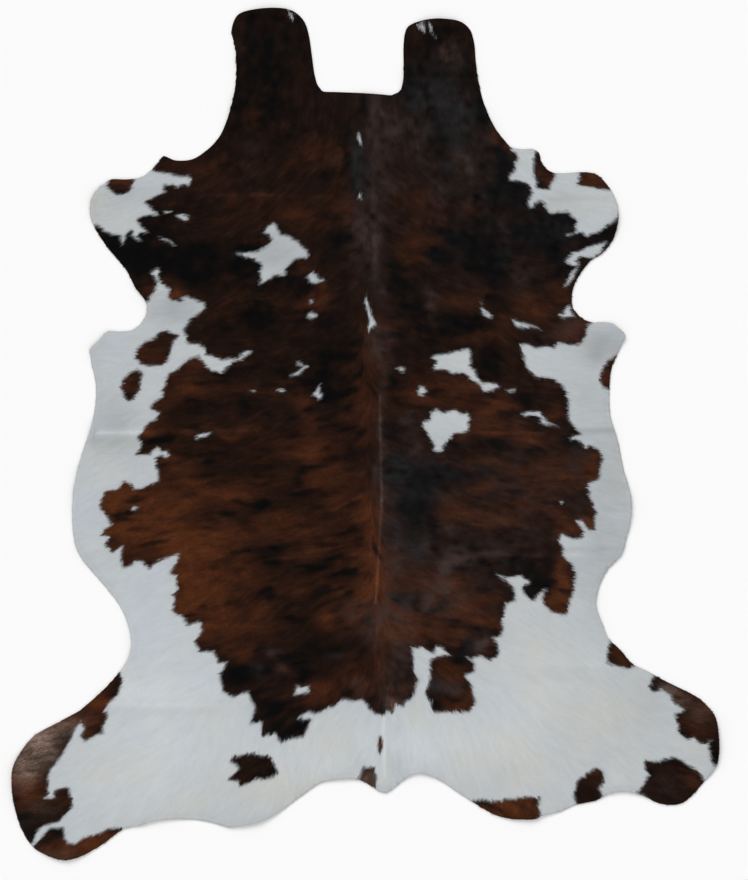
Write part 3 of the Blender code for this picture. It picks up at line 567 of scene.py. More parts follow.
# White marks in the dark hair, each one closed line
WHITE_MARKS = (
    ("star", (
        (-350, 487), (-345, 492), (-321, 490), (-294, 491), (-261, 511), (-253, 528), (-259, 541),
        (-270, 546), (-261, 563), (-245, 574), (-237, 563), (-229, 541), (-205, 536), (-180, 520),
        (-170, 509), (-153, 498), (-151, 484), (-156, 474), (-175, 476), (-191, 471), (-213, 447),
        (-216, 430), (-245, 428), (-261, 414), (-286, 402), (-280, 417), (-283, 428), (-288, 436),
        (-280, 447), (-280, 460), (-299, 471))),
    ("star, companion", (
        (-107, 414), (-148, 406), (-153, 430), (-140, 438), (-126, 433), (-124, 422))),
    ("star, dot", (
        (-146, 363), (-140, 361), (-141, 352), (-147, 354))),
    ("star, fleck", (
        (-126, 318), (-143, 312), (-159, 320), (-145, 330))),
    ("withers fleck", (
        (-8, 779), (-24, 803), (-18, 816))),
    ("spine dot", (
        (-17, 652), (-12, 645), (-11, 633), (-15, 637))),
    ("spine blaze", (
        (2, 379), (28, 298), (9, 276), (6, 287), (9, 306), (-3, 355))),
    ("rib fleck", (
        (-186, 196), (-172, 193), (-150, 182), (-161, 177), (-172, 168), (-175, 160), (-200, 153),
        (-191, 163), (-178, 172), (-170, 180), (-181, 187))),
    ("rib fleck, low", (
        (-118, 139), (-124, 114), (-112, 106), (-118, 98), (-127, 95), (-138, 106), (-132, 115),
        (-129, 126))),
    ("rib dot", (
        (-235, 117), (-224, 122), (-212, 118), (-222, 112))),
    ("rib dot, left", (
        (-310, 114), (-302, 118), (-294, 114), (-302, 111))),
    ("left shoulder streak", (
        (-540, 603), (-523, 600), (-504, 592), (-488, 592), (-472, 587), (-475, 576), (-491, 576),
        (-515, 595), (-537, 598))),
    ("left elbow streak", (
        (-558, 533), (-521, 522), (-512, 509), (-542, 522))),
    ("left side streak", (
        (-411, 6), (-425, -4), (-456, -15), (-452, -4), (-434, 2))),
    ("left belly fleck", (
        (-610, -196), (-618, -207), (-631, -207), (-627, -193))),
    ("rump fleck", (
        (-188, -704), (-186, -677), (-168, -682), (-151, -679), (-151, -696))),
    ("right rib streak", (
        (362, 128), (341, 117), (318, 114), (308, 131), (284, 147), (264, 164), (237, 163), (219, 171),
        (183, 171), (179, 178), (190, 196), (173, 205), (190, 214), (279, 231), (284, 212), (281, 185),
        (295, 168), (304, 151), (318, 139), (354, 137))),
    ("right rib fleck", (
        (408, 124), (392, 109), (376, 120))),
    ("right rib dot", (
        (84, 178), (92, 182), (106, 178), (102, 166), (92, 168))),
    ("right rib dot, low", (
        (146, 129), (156, 128), (164, 114), (156, 104), (146, 101), (137, 110))),
    ("heart", (
        (277, 56), (281, 36), (276, 9), (260, 2), (241, 1), (210, -31), (203, -50), (179, -45),
        (183, -31), (156, 16), (152, 34), (173, 39), (176, 56), (190, 70), (206, 60), (246, 66),
        (254, 56))),
    ("right shoulder streak", (
        (476, 279), (457, 287), (435, 286), (411, 287), (400, 298), (395, 309), (414, 306), (457, 293))),
    ("right shoulder fleck", (
        (311, 358), (316, 344), (324, 333), (341, 320), (335, 312), (322, 317), (310, 328))),
    ("right armpit fleck", (
        (514, 320), (532, 325), (535, 339), (551, 349), (554, 333), (562, 317), (532, 312))),
    ("right elbow hook", (
        (651, 520), (608, 509), (586, 498), (559, 490), (537, 466), (554, 455), (568, 452), (549, 425),
        (535, 395), (546, 401), (559, 422), (578, 466), (568, 466), (581, 477), (619, 474), (630, 482),
        (640, 495))),
    ("right side branch", (
        (524, 17), (470, 29), (470, 44), (453, 51), (430, 44), (416, 52), (432, 60), (470, 62), (478, 47),
        (489, 36))),
    ("right side dot", (
        (530, -189), (524, -188), (524, -182), (530, -182))),
    ("left neck tick", (
        (-210, 1149), (-203, 1149), (-195, 1123), (-199, 1121))),
    ("right neck tick", (
        (162, 1084), (149, 1095), (141, 1108), (160, 1105))),
    ("right neck sliver", (
        (194, 1065), (179, 1084), (168, 1114), (179, 1100))),
)

# Spots of dark hair outside the main patch, each one closed line
DARK_SPOTS = (
    ("left foreleg", (
        (-683, 706), (-696, 669), (-669, 646), (-653, 645), (-639, 652), (-630, 663), (-623, 684),
        (-623, 706))),
    ("left brisket", (
        (-619, 204), (-612, 228), (-596, 247), (-566, 260), (-553, 274), (-537, 279), (-504, 266),
        (-515, 247), (-531, 201), (-545, 185), (-580, 183), (-604, 190))),
    ("left brisket, low", (
        (-612, 177), (-599, 166), (-607, 123), (-618, 104), (-637, 90), (-648, 98), (-656, 123),
        (-653, 144), (-637, 163))),
    ("right belly edge", (
        (702, 225), (651, 196), (638, 171), (632, 147), (638, 128), (655, 120), (702, 131))),
    ("left hock", (
        (-931, -1125), (-972, -1017), (-980, -909), (-944, -828), (-877, -760), (-782, -720),
        (-674, -625), (-661, -644), (-656, -666), (-666, -704), (-691, -725), (-699, -744), (-696, -760),
        (-707, -787), (-707, -809), (-720, -809), (-753, -828), (-766, -820), (-756, -785), (-769, -774),
        (-785, -793), (-793, -822), (-823, -879), (-853, -909), (-855, -974), (-864, -984), (-839, -982),
        (-836, -963), (-818, -955), (-799, -955), (-788, -1006), (-828, -1047), (-866, -1055),
        (-885, -1071), (-896, -1103))),
    ("left hock end", (
        (-648, -1087), (-715, -1146), (-807, -1179), (-904, -1146), (-893, -1109), (-850, -1063),
        (-812, -1063), (-810, -1090), (-799, -1103), (-782, -1106), (-758, -1090), (-683, -1063),
        (-658, -1063))),
    ("left thigh", (
        (-237, -914), (-261, -930), (-288, -930), (-337, -949), (-342, -936), (-369, -930), (-337, -901),
        (-364, -882), (-350, -866), (-329, -866), (-305, -860), (-256, -871), (-242, -893))),
    ("tail", (
        (-8, -957), (-16, -930), (-5, -898), (25, -901), (30, -925), (28, -952))),
    ("tail, side", (
        (38, -863), (34, -844), (36, -817), (46, -817), (46, -849))),
    ("right flank bay", (
        (757, -612), (689, -544), (657, -560), (651, -590), (651, -614), (667, -623), (708, -633))),
    ("right hock", (
        (973, -895), (973, -747), (878, -666), (784, -633), (765, -679), (775, -696), (797, -690),
        (819, -704), (835, -725), (862, -744), (832, -755), (843, -785), (843, -806), (867, -825),
        (886, -817), (905, -836), (932, -825), (924, -849), (937, -893))),
    ("right hock, low", (
        (937, -963), (878, -1022), (819, -1030), (770, -1003), (767, -984), (732, -966), (746, -952),
        (765, -920), (754, -903), (757, -882), (775, -885), (835, -871), (889, -903))),
    ("right thigh edge", (
        (576, -1022), (562, -974), (573, -936), (624, -898), (643, -909), (643, -936), (630, -957),
        (640, -974), (622, -1011))),
    ("right rump edge", (
        (284, -1003), (292, -987), (365, -990), (381, -984), (430, -979), (473, -979), (465, -1003),
        (470, -1025), (465, -1038), (465, -1065), (365, -1057))),
    ("right foreleg, inner", (
        (476, 771), (457, 760), (454, 706), (462, 676), (462, 664), (492, 663), (514, 698), (505, 717),
        (486, 738))),
    ("right foreleg, top", (
        (676, 671), (635, 725), (576, 725), (578, 701), (570, 671), (657, 658))),
)

# Colours of the hair and the leather, as linear red, green and blue
DEEP_BROWN = (0.0128, 0.0062, 0.0042)
WARM_BROWN = (0.0148, 0.0071, 0.0047)
CHESTNUT = (0.0500, 0.0162, 0.0074)
BRIGHT_CHESTNUT = (0.0900, 0.0268, 0.0095)
BLACK = (0.0034, 0.0032, 0.0031)
# GREY_SHEEN and COOL_SHEEN are painted sheen: the colours of highlights painted onto the hair
GREY_SHEEN = (0.0500, 0.0318, 0.0272)
COOL_SHEEN = (0.0180, 0.0184, 0.0196)
ROAN = (0.3150, 0.2180, 0.1720)
COOL_WHITE = (0.4980, 0.5350, 0.5660)
WARM_WHITE = (0.5260, 0.5300, 0.5060)
SUEDE = (0.4700, 0.4100, 0.3400)
SUEDE_STAIN = (0.3100, 0.2700, 0.2350)

# ---- Charts: values worked out once over the hide, seen from above ----

CHART_STEP = 0.0025  # size of a cell
CHART_LOW = np.array((-1.0, -1.2))  # place of the first cell
CHART_ROWS = 960
CHART_COLUMNS = 800
COMB_STRIDE = 1.5 * CHART_STEP  # between the places that drawn-out noise is read at
PATCH_REACH = 0.040  # up to which the distance from an edge is worked out
MARK_INSET = 0.0014  # by which white marks are drawn in, as the dark locks around lie over them
AREA_FALL = 0.8  # how far a tone area has faded at its reach: to this power of 1 / e
PAST_LAST = 1.001  # cells that a read place stays short of the chart's far side


def chart_places():
    """Every cell's place, as an array of rows of points."""
    x = CHART_LOW[0] + CHART_STEP * np.arange(CHART_COLUMNS)
    y = CHART_LOW[1] + CHART_STEP * np.arange(CHART_ROWS)
    return np.stack(np.meshgrid(x, y), axis=-1)


def read(chart, points):
    """The chart's values at points, in between its cells."""
    place = (points - CHART_LOW) / CHART_STEP
    column = np.clip(place[..., 0], 0, CHART_COLUMNS - PAST_LAST)
    row = np.clip(place[..., 1], 0, CHART_ROWS - PAST_LAST)
    left = column.astype(int)
    low = row.astype(int)
    right_share = column - left
    high_share = row - low
    if chart.ndim == 3:
        right_share = right_share[..., None]
        high_share = high_share[..., None]
    lower = chart[low, left] * (1 - right_share) + chart[low, left + 1] * right_share
    upper = chart[low + 1, left] * (1 - right_share) + chart[low + 1, left + 1] * right_share
    return lower * (1 - high_share) + upper * high_share


def read_nearest(chart, points):
    """The chart's values at points, taken from the nearest cell."""
    place = np.rint((points - CHART_LOW) / CHART_STEP).astype(int)
    column = np.clip(place[..., 0], 0, CHART_COLUMNS - 1)
    row = np.clip(place[..., 1], 0, CHART_ROWS - 1)
    return chart[row, column]


def clouds(seed, size):
    """Soft random values with features of the given size. Their mean is 0 and their spread 1."""
    rough = np.random.default_rng(seed).standard_normal((CHART_ROWS, CHART_COLUMNS))
    along = np.fft.fftfreq(CHART_ROWS, CHART_STEP)[:, None]
    across = np.fft.rfftfreq(CHART_COLUMNS, CHART_STEP)[None]
    blur = np.exp(-2 * np.square(math.pi * size / 2) * (np.square(along) + np.square(across)))
    soft = np.fft.irfft2(np.fft.rfft2(rough) * blur, s=rough.shape)
    return soft / soft.std()


def soft_step(low, high, values):
    """0 below the low value, 1 above the high one, and a soft rise between them."""
    share = np.clip((values - low) / (high - low), 0, 1)
    return share * share * (3 - 2 * share)


def back_at(along):
    """How far across the hide its back lies, at a place along it."""
    across, places = np.array(BACK_LINE).T * MM
    return np.interp(along, places[::-1], across[::-1])


def lie_chart(places):
    """Which way the hair lies, as unit directions."""
    side = places[..., 0] - back_at(places[..., 1])
    folded = np.stack((-np.abs(side), places[..., 1]), axis=-1)
    lie = np.zeros(places.shape)
    for (x, y), direction in SIDE_COMB:
        place = np.array((x * MM - back_at(y * MM), y * MM))
        away = np.linalg.norm(folded - place, axis=-1)
        weight = 1 / np.square(np.square(away) + COMB_REACH**2)
        lie += weight[..., None] * np.array(direction) / np.linalg.norm(direction)
    lie /= np.linalg.norm(lie, axis=-1, keepdims=True)
    on_back = np.exp(-np.square(side / BACK_BAND))
    lie[..., 0] *= np.where(side > 0, -1, 1) * (1 - on_back)
    lie[..., 1] = lie[..., 1] * (1 - on_back) - on_back
    turn = sum(angle * clouds(seed, size) for seed, size, angle in LIE_TURNS)
    cosine = np.cos(turn)
    sine = np.sin(turn)
    turned = np.stack((lie[..., 0] * cosine - lie[..., 1] * sine,
                       lie[..., 0] * sine + lie[..., 1] * cosine), axis=-1)
    return turned / np.linalg.norm(turned, axis=-1, keepdims=True)


def combed(kind, lie):
    """One kind of noise, drawn out along the lie over its reach each way."""
    seed, size, reach = kind
    values = clouds(seed, size)
    total = values.copy()
    for stride in (-COMB_STRIDE, COMB_STRIDE):
        place = chart_places()
        for _step in range(round(reach / COMB_STRIDE)):
            place += stride * read_nearest(lie, place)
            total += read_nearest(values, place)
    return (total - total.mean()) / total.std()


def line_distance(points, start, end):
    """Distance of points from the line between two places, and how far along it they lie."""
    run = end - start
    along = np.clip(((points - start) @ run) / (run @ run), 0, 1)
    nearest = start + along[..., None] * run
    return np.linalg.norm(points - nearest, axis=-1), along


def edge_chart(outline):
    """Distance from a closed line, up to the patches' reach: above 0 inside it and below outside."""
    away = np.full((CHART_ROWS, CHART_COLUMNS), PATCH_REACH)
    inside = np.zeros((CHART_ROWS, CHART_COLUMNS), dtype=bool)
    places = chart_places()
    columns_x = places[0, :, 0]
    rows_y = places[:, 0, 1]
    for start, end in zip(outline, np.roll(outline, -1, axis=0)):
        low = (np.minimum(start, end) - PATCH_REACH - CHART_LOW) / CHART_STEP
        high = (np.maximum(start, end) + PATCH_REACH - CHART_LOW) / CHART_STEP
        left, bottom = np.maximum(np.floor(low).astype(int), 0)
        right, top = np.maximum(np.ceil(high).astype(int) + 1, 0)
        window = (slice(bottom, top), slice(left, right))
        distance, _along = line_distance(places[window], start, end)
        away[window] = np.minimum(away[window], distance)
        first, last = sorted((start, end), key=lambda point: point[1])
        for row in np.flatnonzero((rows_y >= first[1]) & (rows_y < last[1])):
            share = (rows_y[row] - first[1]) / (last[1] - first[1])
            inside[row] ^= columns_x < first[0] + share * (last[0] - first[0])
    return np.where(inside, away, -away)


def dark_chart():
    """Distance into the dark patches, above 0 inside them, less the white marks in them."""
    dark = edge_chart(np.array([point for _name, points in MAIN_PATCH for point in points]) * MM)
    for _name, points in DARK_SPOTS:
        dark = np.maximum(dark, edge_chart(np.array(points) * MM))
    for _name, points in WHITE_MARKS:
        dark = np.minimum(dark, MARK_INSET - edge_chart(np.array(points) * MM))
    return dark


def soft_area(area, places):
    """One tone area: its amount in the middle, which fades out around it."""
    x, y, across, along, amount = area
    far = np.square((places[..., 0] - x * MM) / (across * MM))
    far += np.square((places[..., 1] - y * MM) / (along * MM))
    return amount * np.exp(-AREA_FALL * far)


def tone_chart(areas, places):
    """How much of a tone there is, where each area covers its share of what is still bare."""
    bare = np.ones(places.shape[:-1])
    for area in areas:
        bare *= 1 - soft_area(area, places)
    return 1 - bare


def painted_fold_light_and_shade(places):
    """Painted highlights and painted shade: how much lighter or darker the hair is drawn along the lines
    of the folds.
    """
    change = np.zeros(places.shape[:-1])
    for _name, start, end, half_width, amount in FOLD_LIGHT_AND_SHADE:
        away, _along = line_distance(places, np.array(start) * MM, np.array(end) * MM)
        change += amount * np.exp(-np.square(away / (half_width * MM)))
    return change


def lift(points):
    """Height of the underside above the floor: crests along the folds, and raised edges."""
    height = np.zeros(points.shape[:-1])
    for _name, start, end, crest, half_width in CREASES:
        away, along = line_distance(points, np.array(start) * MM, np.array(end) * MM)
        crown = np.exp(-np.square(away / (half_width * MM)) / 2)
        beat = CREST_EVEN + (1 - CREST_EVEN) * np.cos(CREST_BEATS * along)
        height = np.maximum(height, crest * MM * crown * beat)
    for _name, middle, reach, rise in SWELLS:
        away = np.linalg.norm(points - np.array(middle) * MM, axis=-1)
        height = np.maximum(height, rise * MM * np.exp(-SWELL_FALL * np.square(away / (reach * MM))))
    return np.maximum(height - SETTLED, 0.0)


# ---- Sheets ----

SAME_PLACE = 1e-5  # distance within which corners of the hide are one
UNDERSIDE_NORMAL = -0.5  # faces of the hide whose normal is lower than this are its underside
INSIDE_ONLY = 1  # the triangulation's setting that keeps the faces inside the rim
NEAR = 1e-7  # distance within which the triangulation takes points as one
MAP_MARGIN = 0.002  # around the plan in its UV map


def hide_rim():
    """The hide's cut edge as one closed loop of points, in the order they follow each other."""
    whole = bmesh.new()
    whole.from_mesh(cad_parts["hide"].data)
    bmesh.ops.remove_doubles(whole, verts=whole.verts, dist=SAME_PLACE)
    whole.normal_update()
    upper = [face for face in whole.faces if face.normal.z > UNDERSIDE_NORMAL]
    bmesh.ops.delete(whole, geom=upper, context="FACES")
    after = {}
    for edge in whole.edges:
        if edge.is_boundary:
            for corner in edge.verts:
                after.setdefault(corner, []).append(edge.other_vert(corner))
    start = next(iter(after))
    loop = [start]
    last = start
    here = after[start][0]
    while here is not start:
        loop.append(here)
        following = after[here][0] if after[here][0] is not last else after[here][1]
        last = here
        here = following
    rim = np.array([corner.co.xy[:] for corner in loop])
    whole.free()
    return rim


def drawn_in(loop, inset):
    """The loop moved a little way in, because the hair reaches past the edge of the leather."""
    along = np.roll(loop, -1, axis=0) - np.roll(loop, 1, axis=0)
    across = np.column_stack((-along[:, 1], along[:, 0]))
    across /= np.linalg.norm(across, axis=1, keepdims=True)
    turning = np.sum(loop[:, 0] * np.roll(loop[:, 1], -1) - np.roll(loop[:, 0], -1) * loop[:, 1])
    return loop + across * inset * np.sign(turning)


def smooth_loop(loop, step):
    """Points about a step apart on a smooth closed curve (Hermite) through the loop's points."""
    placed = []
    for index, point in enumerate(loop):
        before = loop[index - 1]
        after = loop[(index + 1) % len(loop)]
        beyond = loop[(index + 2) % len(loop)]
        span = np.linalg.norm(after - point)
        out = (after - before) / 2 * span / max(np.linalg.norm(after - before) / 2, span)
        back = (beyond - point) / 2 * span / max(np.linalg.norm(beyond - point) / 2, span)
        count = max(1, round(span / step))
        for part in range(count):
            share = part / count
            square = share * share
            cube = square * share
            placed.append(point * (2 * cube - 3 * square + 1) + after * (3 * square - 2 * cube)
                          + out * (cube - 2 * square + share) + back * (cube - square))
    return np.array(placed)


def lattice(rim_chart, step, clearance):
    """Staggered rows of points over the hide, kept a clearance inside its edge."""
    high = -CHART_LOW
    pitch = step * math.sqrt(3) / 2
    rows = np.arange(CHART_LOW[1], high[1], pitch)
    points = []
    for index, y in enumerate(rows):
        x = np.arange(CHART_LOW[0] + step / 2 * (index % 2), high[0], step)
        points.append(np.stack((x, np.full(len(x), y)), axis=-1))
    points = np.vstack(points)
    return points[read(rim_chart, points) > clearance]


def spread(rim, inner):
    """Faces that fill the rim over the inner points: the places used, and each face's corners."""
    flat = np.vstack((rim, inner))
    border = [(index, (index + 1) % len(rim)) for index in range(len(rim))]
    coords = [Vector(point) for point in flat]
    places, _, faces, _, _, _ = geometry.delaunay_2d_cdt(coords, border, [], INSIDE_ONLY, NEAR)
    return np.array([place[:] for place in places]), np.array(faces)


def closed_sheet(name, rim, upper_inner, lower_inner, upper_height, lower_height):
    """A closed sheet between two heights, its upper and lower side meeting at the rim."""
    upper, upper_faces = spread(rim, upper_inner)
    lower, lower_faces = spread(rim, lower_inner)
    count = len(rim)
    shift = len(upper)
    places = np.vstack((np.column_stack((upper, upper_height(upper))),
                        np.column_stack((lower, lower_height(lower)))))
    faces = [tuple(face) for face in upper_faces.tolist()]
    faces += [tuple(shift + corner for corner in reversed(face)) for face in lower_faces.tolist()]
    for index in range(count):
        after = (index + 1) % count
        faces.append((index, shift + index, shift + after, after))
    mesh = bpy.data.meshes.new(name)
    mesh.from_pydata(places.tolist(), [], faces)
    shape = bmesh.new()
    shape.from_mesh(mesh)
    bmesh.ops.recalc_face_normals(shape, faces=shape.faces)
    shape.to_mesh(mesh)
    shape.free()
    mesh.shade_smooth()
    sheet = bpy.data.objects.new(name, mesh)
    bpy.context.collection.objects.link(sheet)
    return sheet


def add_attribute(mesh, name, values):
    """Four numbers at each vertex of a mesh."""
    attribute = mesh.attributes.new(name, "FLOAT_COLOR", "POINT")
    attribute.data.foreach_set("color", np.ascontiguousarray(values, dtype=np.float32).ravel())


def add_plan_map(mesh):
    """A UV map that looks straight down on the hide, at one scale for every piece."""
    uv = mesh.uv_layers.new(name="OFBake")
    corners = np.zeros(len(mesh.loops), dtype=np.int32)
    mesh.loops.foreach_get("vertex_index", corners)
    places = np.zeros(len(mesh.vertices) * 3, dtype=np.float32)
    mesh.vertices.foreach_get("co", places)
    plan = places.reshape(-1, 3)[corners, :2]
    low = plan.min(axis=0)
    size = (plan.max(axis=0) - low).max()
    plan = MAP_MARGIN + (1 - 2 * MAP_MARGIN) * (plan - low) / size
    uv.data.foreach_set("uv", plan.astype(np.float32).ravel())


# ---- Coat ----


class Coat:
    """Charts of the coat: where it is dark, its tones with their painted sheen and painted light and
    shade, and which way its hair lies.
    """

    def __init__(self, rim):
        self.places = chart_places()
        self.rim = edge_chart(rim)
        self.dark = dark_chart()
        self.lie = lie_chart(self.places)
        self.noise = self.all_noise()
        self.ragged = self.blend(RAGGED_NOISE)
        self.lay_brindle()
        self.lay_sheens()
        self.lay_whites()
        self.lay_shades()

    def all_noise(self):
        """Every kind of noise in the coat."""
        bands = self.lie * (1, BAND_RUN)
        bands /= np.linalg.norm(bands, axis=-1, keepdims=True)
        return {"strands": combed(STRANDS, self.lie), "threads": combed(THREADS, self.lie),
                "wisps": combed(WISPS, bands), "brindle": combed(BRINDLE, bands),
                "mottle": combed(MOTTLE, bands), "blotches": clouds(*BLOTCHES),
                "dapples": DAPPLE_SHARE * sum(clouds(seed, size) for seed, size in DAPPLES)}

    def blend(self, weights):
        """Several kinds of noise, added up by their weights."""
        return sum(weight * self.noise[kind] for kind, weight in weights.items())

    def moved(self, drift, wisps):
        """The places, moved about by slow drift and along the hair by the wisps."""
        slow = np.stack([clouds(seed, size) for seed, size in DRIFT], axis=-1)
        return self.places + drift * slow + wisps * self.noise["wisps"][..., None] * self.lie

    def lay_brindle(self):
        """Black and chestnut, with flecks and dapples of black."""
        places = self.moved(*BRINDLE_MOVES)
        along = self.places[..., 1]
        flecks = soft_step(*FLECK_RISE, self.blend(FLECK_NOISE))
        flecks *= FLECKS_AHEAD + (1 - FLECKS_AHEAD) * soft_step(*FLECKS_FROM, along)
        dapples = soft_step(*DAPPLES_FROM, along) * self.noise["dapples"]
        grain = self.blend(GRAIN_NOISE)
        black = tone_chart(BLACK_AREAS, places) + self.blend(BLACK_NOISE) + grain
        black += BLACK_FLECKS * flecks + BLACK_DAPPLES * dapples
        self.black = soft_step(*BLACK_RISE, black)
        chestnut = tone_chart(CHESTNUT_AREAS, places) * (1 + self.blend(CHESTNUT_NOISE))
        self.chestnut = np.clip(chestnut + grain, 0, 1)

    def lay_sheens(self):
        """Painted grey sheen, painted cool blue-black sheen, and roan."""
        places = self.moved(*SHEEN_MOVES)
        dappled = 1 + self.blend(SHEEN_NOISE) + self.blend(GRAIN_NOISE)
        self.sheen = np.clip(tone_chart(SHEEN_AREAS, places) * dappled, 0, 1)
        self.cool = np.clip(tone_chart(COOL_SHEEN_AREAS, places) * dappled, 0, 1)
        self.roan = np.clip(tone_chart(ROAN_AREAS, places) * (1 + self.blend(ROAN_NOISE)), 0, 1)

    def lay_whites(self):
        """How warm the white hair is."""
        warmth = WHITE_WARMTH + tone_chart(WARM_WHITE_AREAS, self.places) + self.blend(WARM_NOISE)
        self.warm = np.clip(warmth, 0, 1)

    def lay_shades(self):
        """How bright the dark and the white hair are, with painted light and shade along the folds and,
        on the white hair, in broad areas.
        """
        # painted highlights on the fold crests and painted shade in their valleys
        folds = painted_fold_light_and_shade(self.places)
        self.dark_shade = (1 + self.blend(DARK_SHADE_NOISE)) * (1 + folds)
        white = 1 + self.blend(WHITE_SHADE_NOISE)
        # painted light and shade in broad areas of the white hair
        white += sum(soft_area(area, self.places) for area in WHITE_LIGHT_AND_SHADE)
        self.white_shade = white * (1 + WHITE_FOLD_SHADING * folds)


def coat_values(coat, points, dark, chance):
    """The two sets of four numbers that the coat's material reads at each point."""
    first = np.column_stack((dark, read(coat.chestnut, points), read(coat.black, points),
                             read(coat.sheen, points)))
    # painted cool sheen on the dark hair, and the white hair's own warmth
    cool_sheen_and_warmth = read(coat.cool, points) * dark + read(coat.warm, points) * (1 - dark)
    shade = read(coat.dark_shade, points) * dark + read(coat.white_shade, points) * (1 - dark)
    second = np.column_stack((chance, read(coat.roan, points), cool_sheen_and_warmth, shade))
    return np.clip(first, 0, 1), second


def under_hair_height(coat, points):
    """Height of the felt of under hair, which thins out towards the cut edge."""
    inwards = soft_step(0.0, RIM_THINNING, read(coat.rim, points))
    return LEATHER + RIM_UNDER_HAIR + (UNDER_HAIR - RIM_UNDER_HAIR) * inwards


def make_leather(rim, coat):
    """The leather, with its suede underside."""
    inner = lattice(coat.rim, LEATHER_STEP, LEATHER_STEP * RIM_CLEARANCE)
    leather = closed_sheet("leather", rim, inner, inner,
                           lambda points: lift(points) + LEATHER, lift)
    places = np.array([vertex.co.xy[:] for vertex in leather.data.vertices])
    stain = np.clip(read(coat.dark, places) / (2 * STAIN_SOFTNESS) + 0.5, 0, 1)
    add_attribute(leather.data, "coat", np.column_stack([stain] * 4))
    add_plan_map(leather.data)
    return leather


def make_under_hair(rim, coat):
    """The felt of short under hair on the leather."""
    upper = lattice(coat.rim, HAIR_STEP, HAIR_STEP * RIM_CLEARANCE)
    lower = lattice(coat.rim, LEATHER_STEP, LEATHER_STEP * RIM_CLEARANCE)
    felt = closed_sheet("under_hair", rim, upper, lower,
                        lambda points: lift(points) + under_hair_height(coat, points),
                        lambda points: lift(points) + LEATHER - BED)
    places = np.array([vertex.co.xy[:] for vertex in felt.data.vertices])
    dark = np.clip(read(coat.dark, places) / (2 * UNDER_HAIR_SOFTNESS) + 0.5, 0, 1)
    even_chance = np.full(len(places), 0.5)
    first, second = coat_values(coat, places, dark, even_chance)
    add_attribute(felt.data, "coat", first)
    add_attribute(felt.data, "strand", second)
    add_plan_map(felt.data)
    return felt


def root_places(coat, rng):
    """Where the locks are rooted: staggered rows, each root moved about at random."""
    roots = lattice(coat.rim, ROOT_STEP, 0.0)
    roots = roots + rng.uniform(-0.5, 0.5, roots.shape) * ROOT_STEP
    return roots[read(coat.rim, roots) > ROOT_INSET]


def lock_runs(coat, roots, rng):
    """Each lock's direction and length, cut short where it would hang too far over the edge."""
    lie = read(coat.lie, roots)
    angle = np.arctan2(lie[:, 1], lie[:, 0]) + rng.normal(0, LOCK_STRAY, len(roots))
    heading = np.column_stack((np.cos(angle), np.sin(angle)))
    length = rng.uniform(*LOCK_LENGTH, len(roots))
    overhang = OVERHANG * np.square(rng.random(len(roots)))
    for _trim in range(TRIMS):
        tip = roots + heading * length[:, None]
        over = -read(coat.rim, tip) > overhang
        length = np.where(over, length * TRIM, length)
    return heading, length


def lock_darkness(coat, roots, heading, length, rng):
    """Where each lock takes its colour, and 1 if it is dark, 0 if white, or between where they mix."""
    places = roots + heading * (length * COLOUR_PLACE)[:, None]
    depth = read(coat.dark, places) + read(coat.ragged, places)
    depth += rng.normal(0, COLOUR_STRAY, len(roots))
    return places, soft_step(-PATCH_SOFTNESS, PATCH_SOFTNESS, depth)


def lock_corners(coat, roots, heading, length, dark, rng):
    """Each lock's root, left and right belly, and tip. White locks lie flatter than dark ones."""
    count = len(roots)
    side = np.column_stack((-heading[:, 1], heading[:, 0]))
    half_width = rng.uniform(*LOCK_HALF_WIDTH, count)
    belly = roots + heading * (length * rng.uniform(*LOCK_BELLY, count))[:, None]
    left = belly + side * half_width[:, None]
    right = belly - side * half_width[:, None]
    tip = roots + heading * length[:, None]
    loose = WHITE_LIE_FLAT + (1 - WHITE_LIE_FLAT) * dark
    roll = rng.normal(0, LOCK_ROLL, count) * loose
    rise = rng.uniform(*LOCK_TIP_RISE, count) * loose
    beyond = np.clip(-read(coat.rim, tip), 0, None)
    corners = []
    for place, above in ((roots, -ROOT_SINK * loose), (left, BELLY_RISE * rise + roll),
                         (right, BELLY_RISE * rise - roll), (tip, rise - DROOP * beyond)):
        height = lift(place) + under_hair_height(coat, place) + above
        corners.append(np.column_stack((place, height)))
    return np.stack(corners, axis=1)


def make_locks(coat):
    """All locks of hair, as one piece for each band across the hide."""
    rng = np.random.default_rng(ROOT_SEED)
    roots = root_places(coat, rng)
    heading, length = lock_runs(coat, roots, rng)
    places, dark = lock_darkness(coat, roots, heading, length, rng)
    corners = lock_corners(coat, roots, heading, length, dark, rng)
    chance = rng.random(len(roots))
    first, second = coat_values(coat, places, dark, chance)
    bands = np.array_split(np.argsort(roots[:, 1], kind="stable"), BANDS)
    return [lock_piece(f"hair_{number}", corners[own], first[own], second[own])
            for number, own in enumerate(bands, start=1)]


def lock_piece(name, corners, first, second):
    """One mesh of locks, each two faces that meet in a ridge from root to tip."""
    count = len(corners)
    base = 4 * np.arange(count)[:, None]
    faces = np.stack((base + (0, 3, 1), base + (0, 2, 3)), axis=1).reshape(-1, 3)
    mesh = bpy.data.meshes.new(name)
    mesh.vertices.add(4 * count)
    mesh.vertices.foreach_set("co", corners.astype(np.float32).ravel())
    mesh.loops.add(faces.size)
    mesh.loops.foreach_set("vertex_index", faces.astype(np.int32).ravel())
    mesh.polygons.add(len(faces))
    mesh.polygons.foreach_set("loop_start", np.arange(0, faces.size, 3, dtype=np.int32))
    mesh.update(calc_edges=True)
    mesh.shade_smooth()
    add_attribute(mesh, "coat", np.repeat(first, 4, axis=0))
    add_attribute(mesh, "strand", np.repeat(second, 4, axis=0))
    add_plan_map(mesh)
    piece = bpy.data.objects.new(name, mesh)
    bpy.context.collection.objects.link(piece)
    return piece


# ---- Materials ----

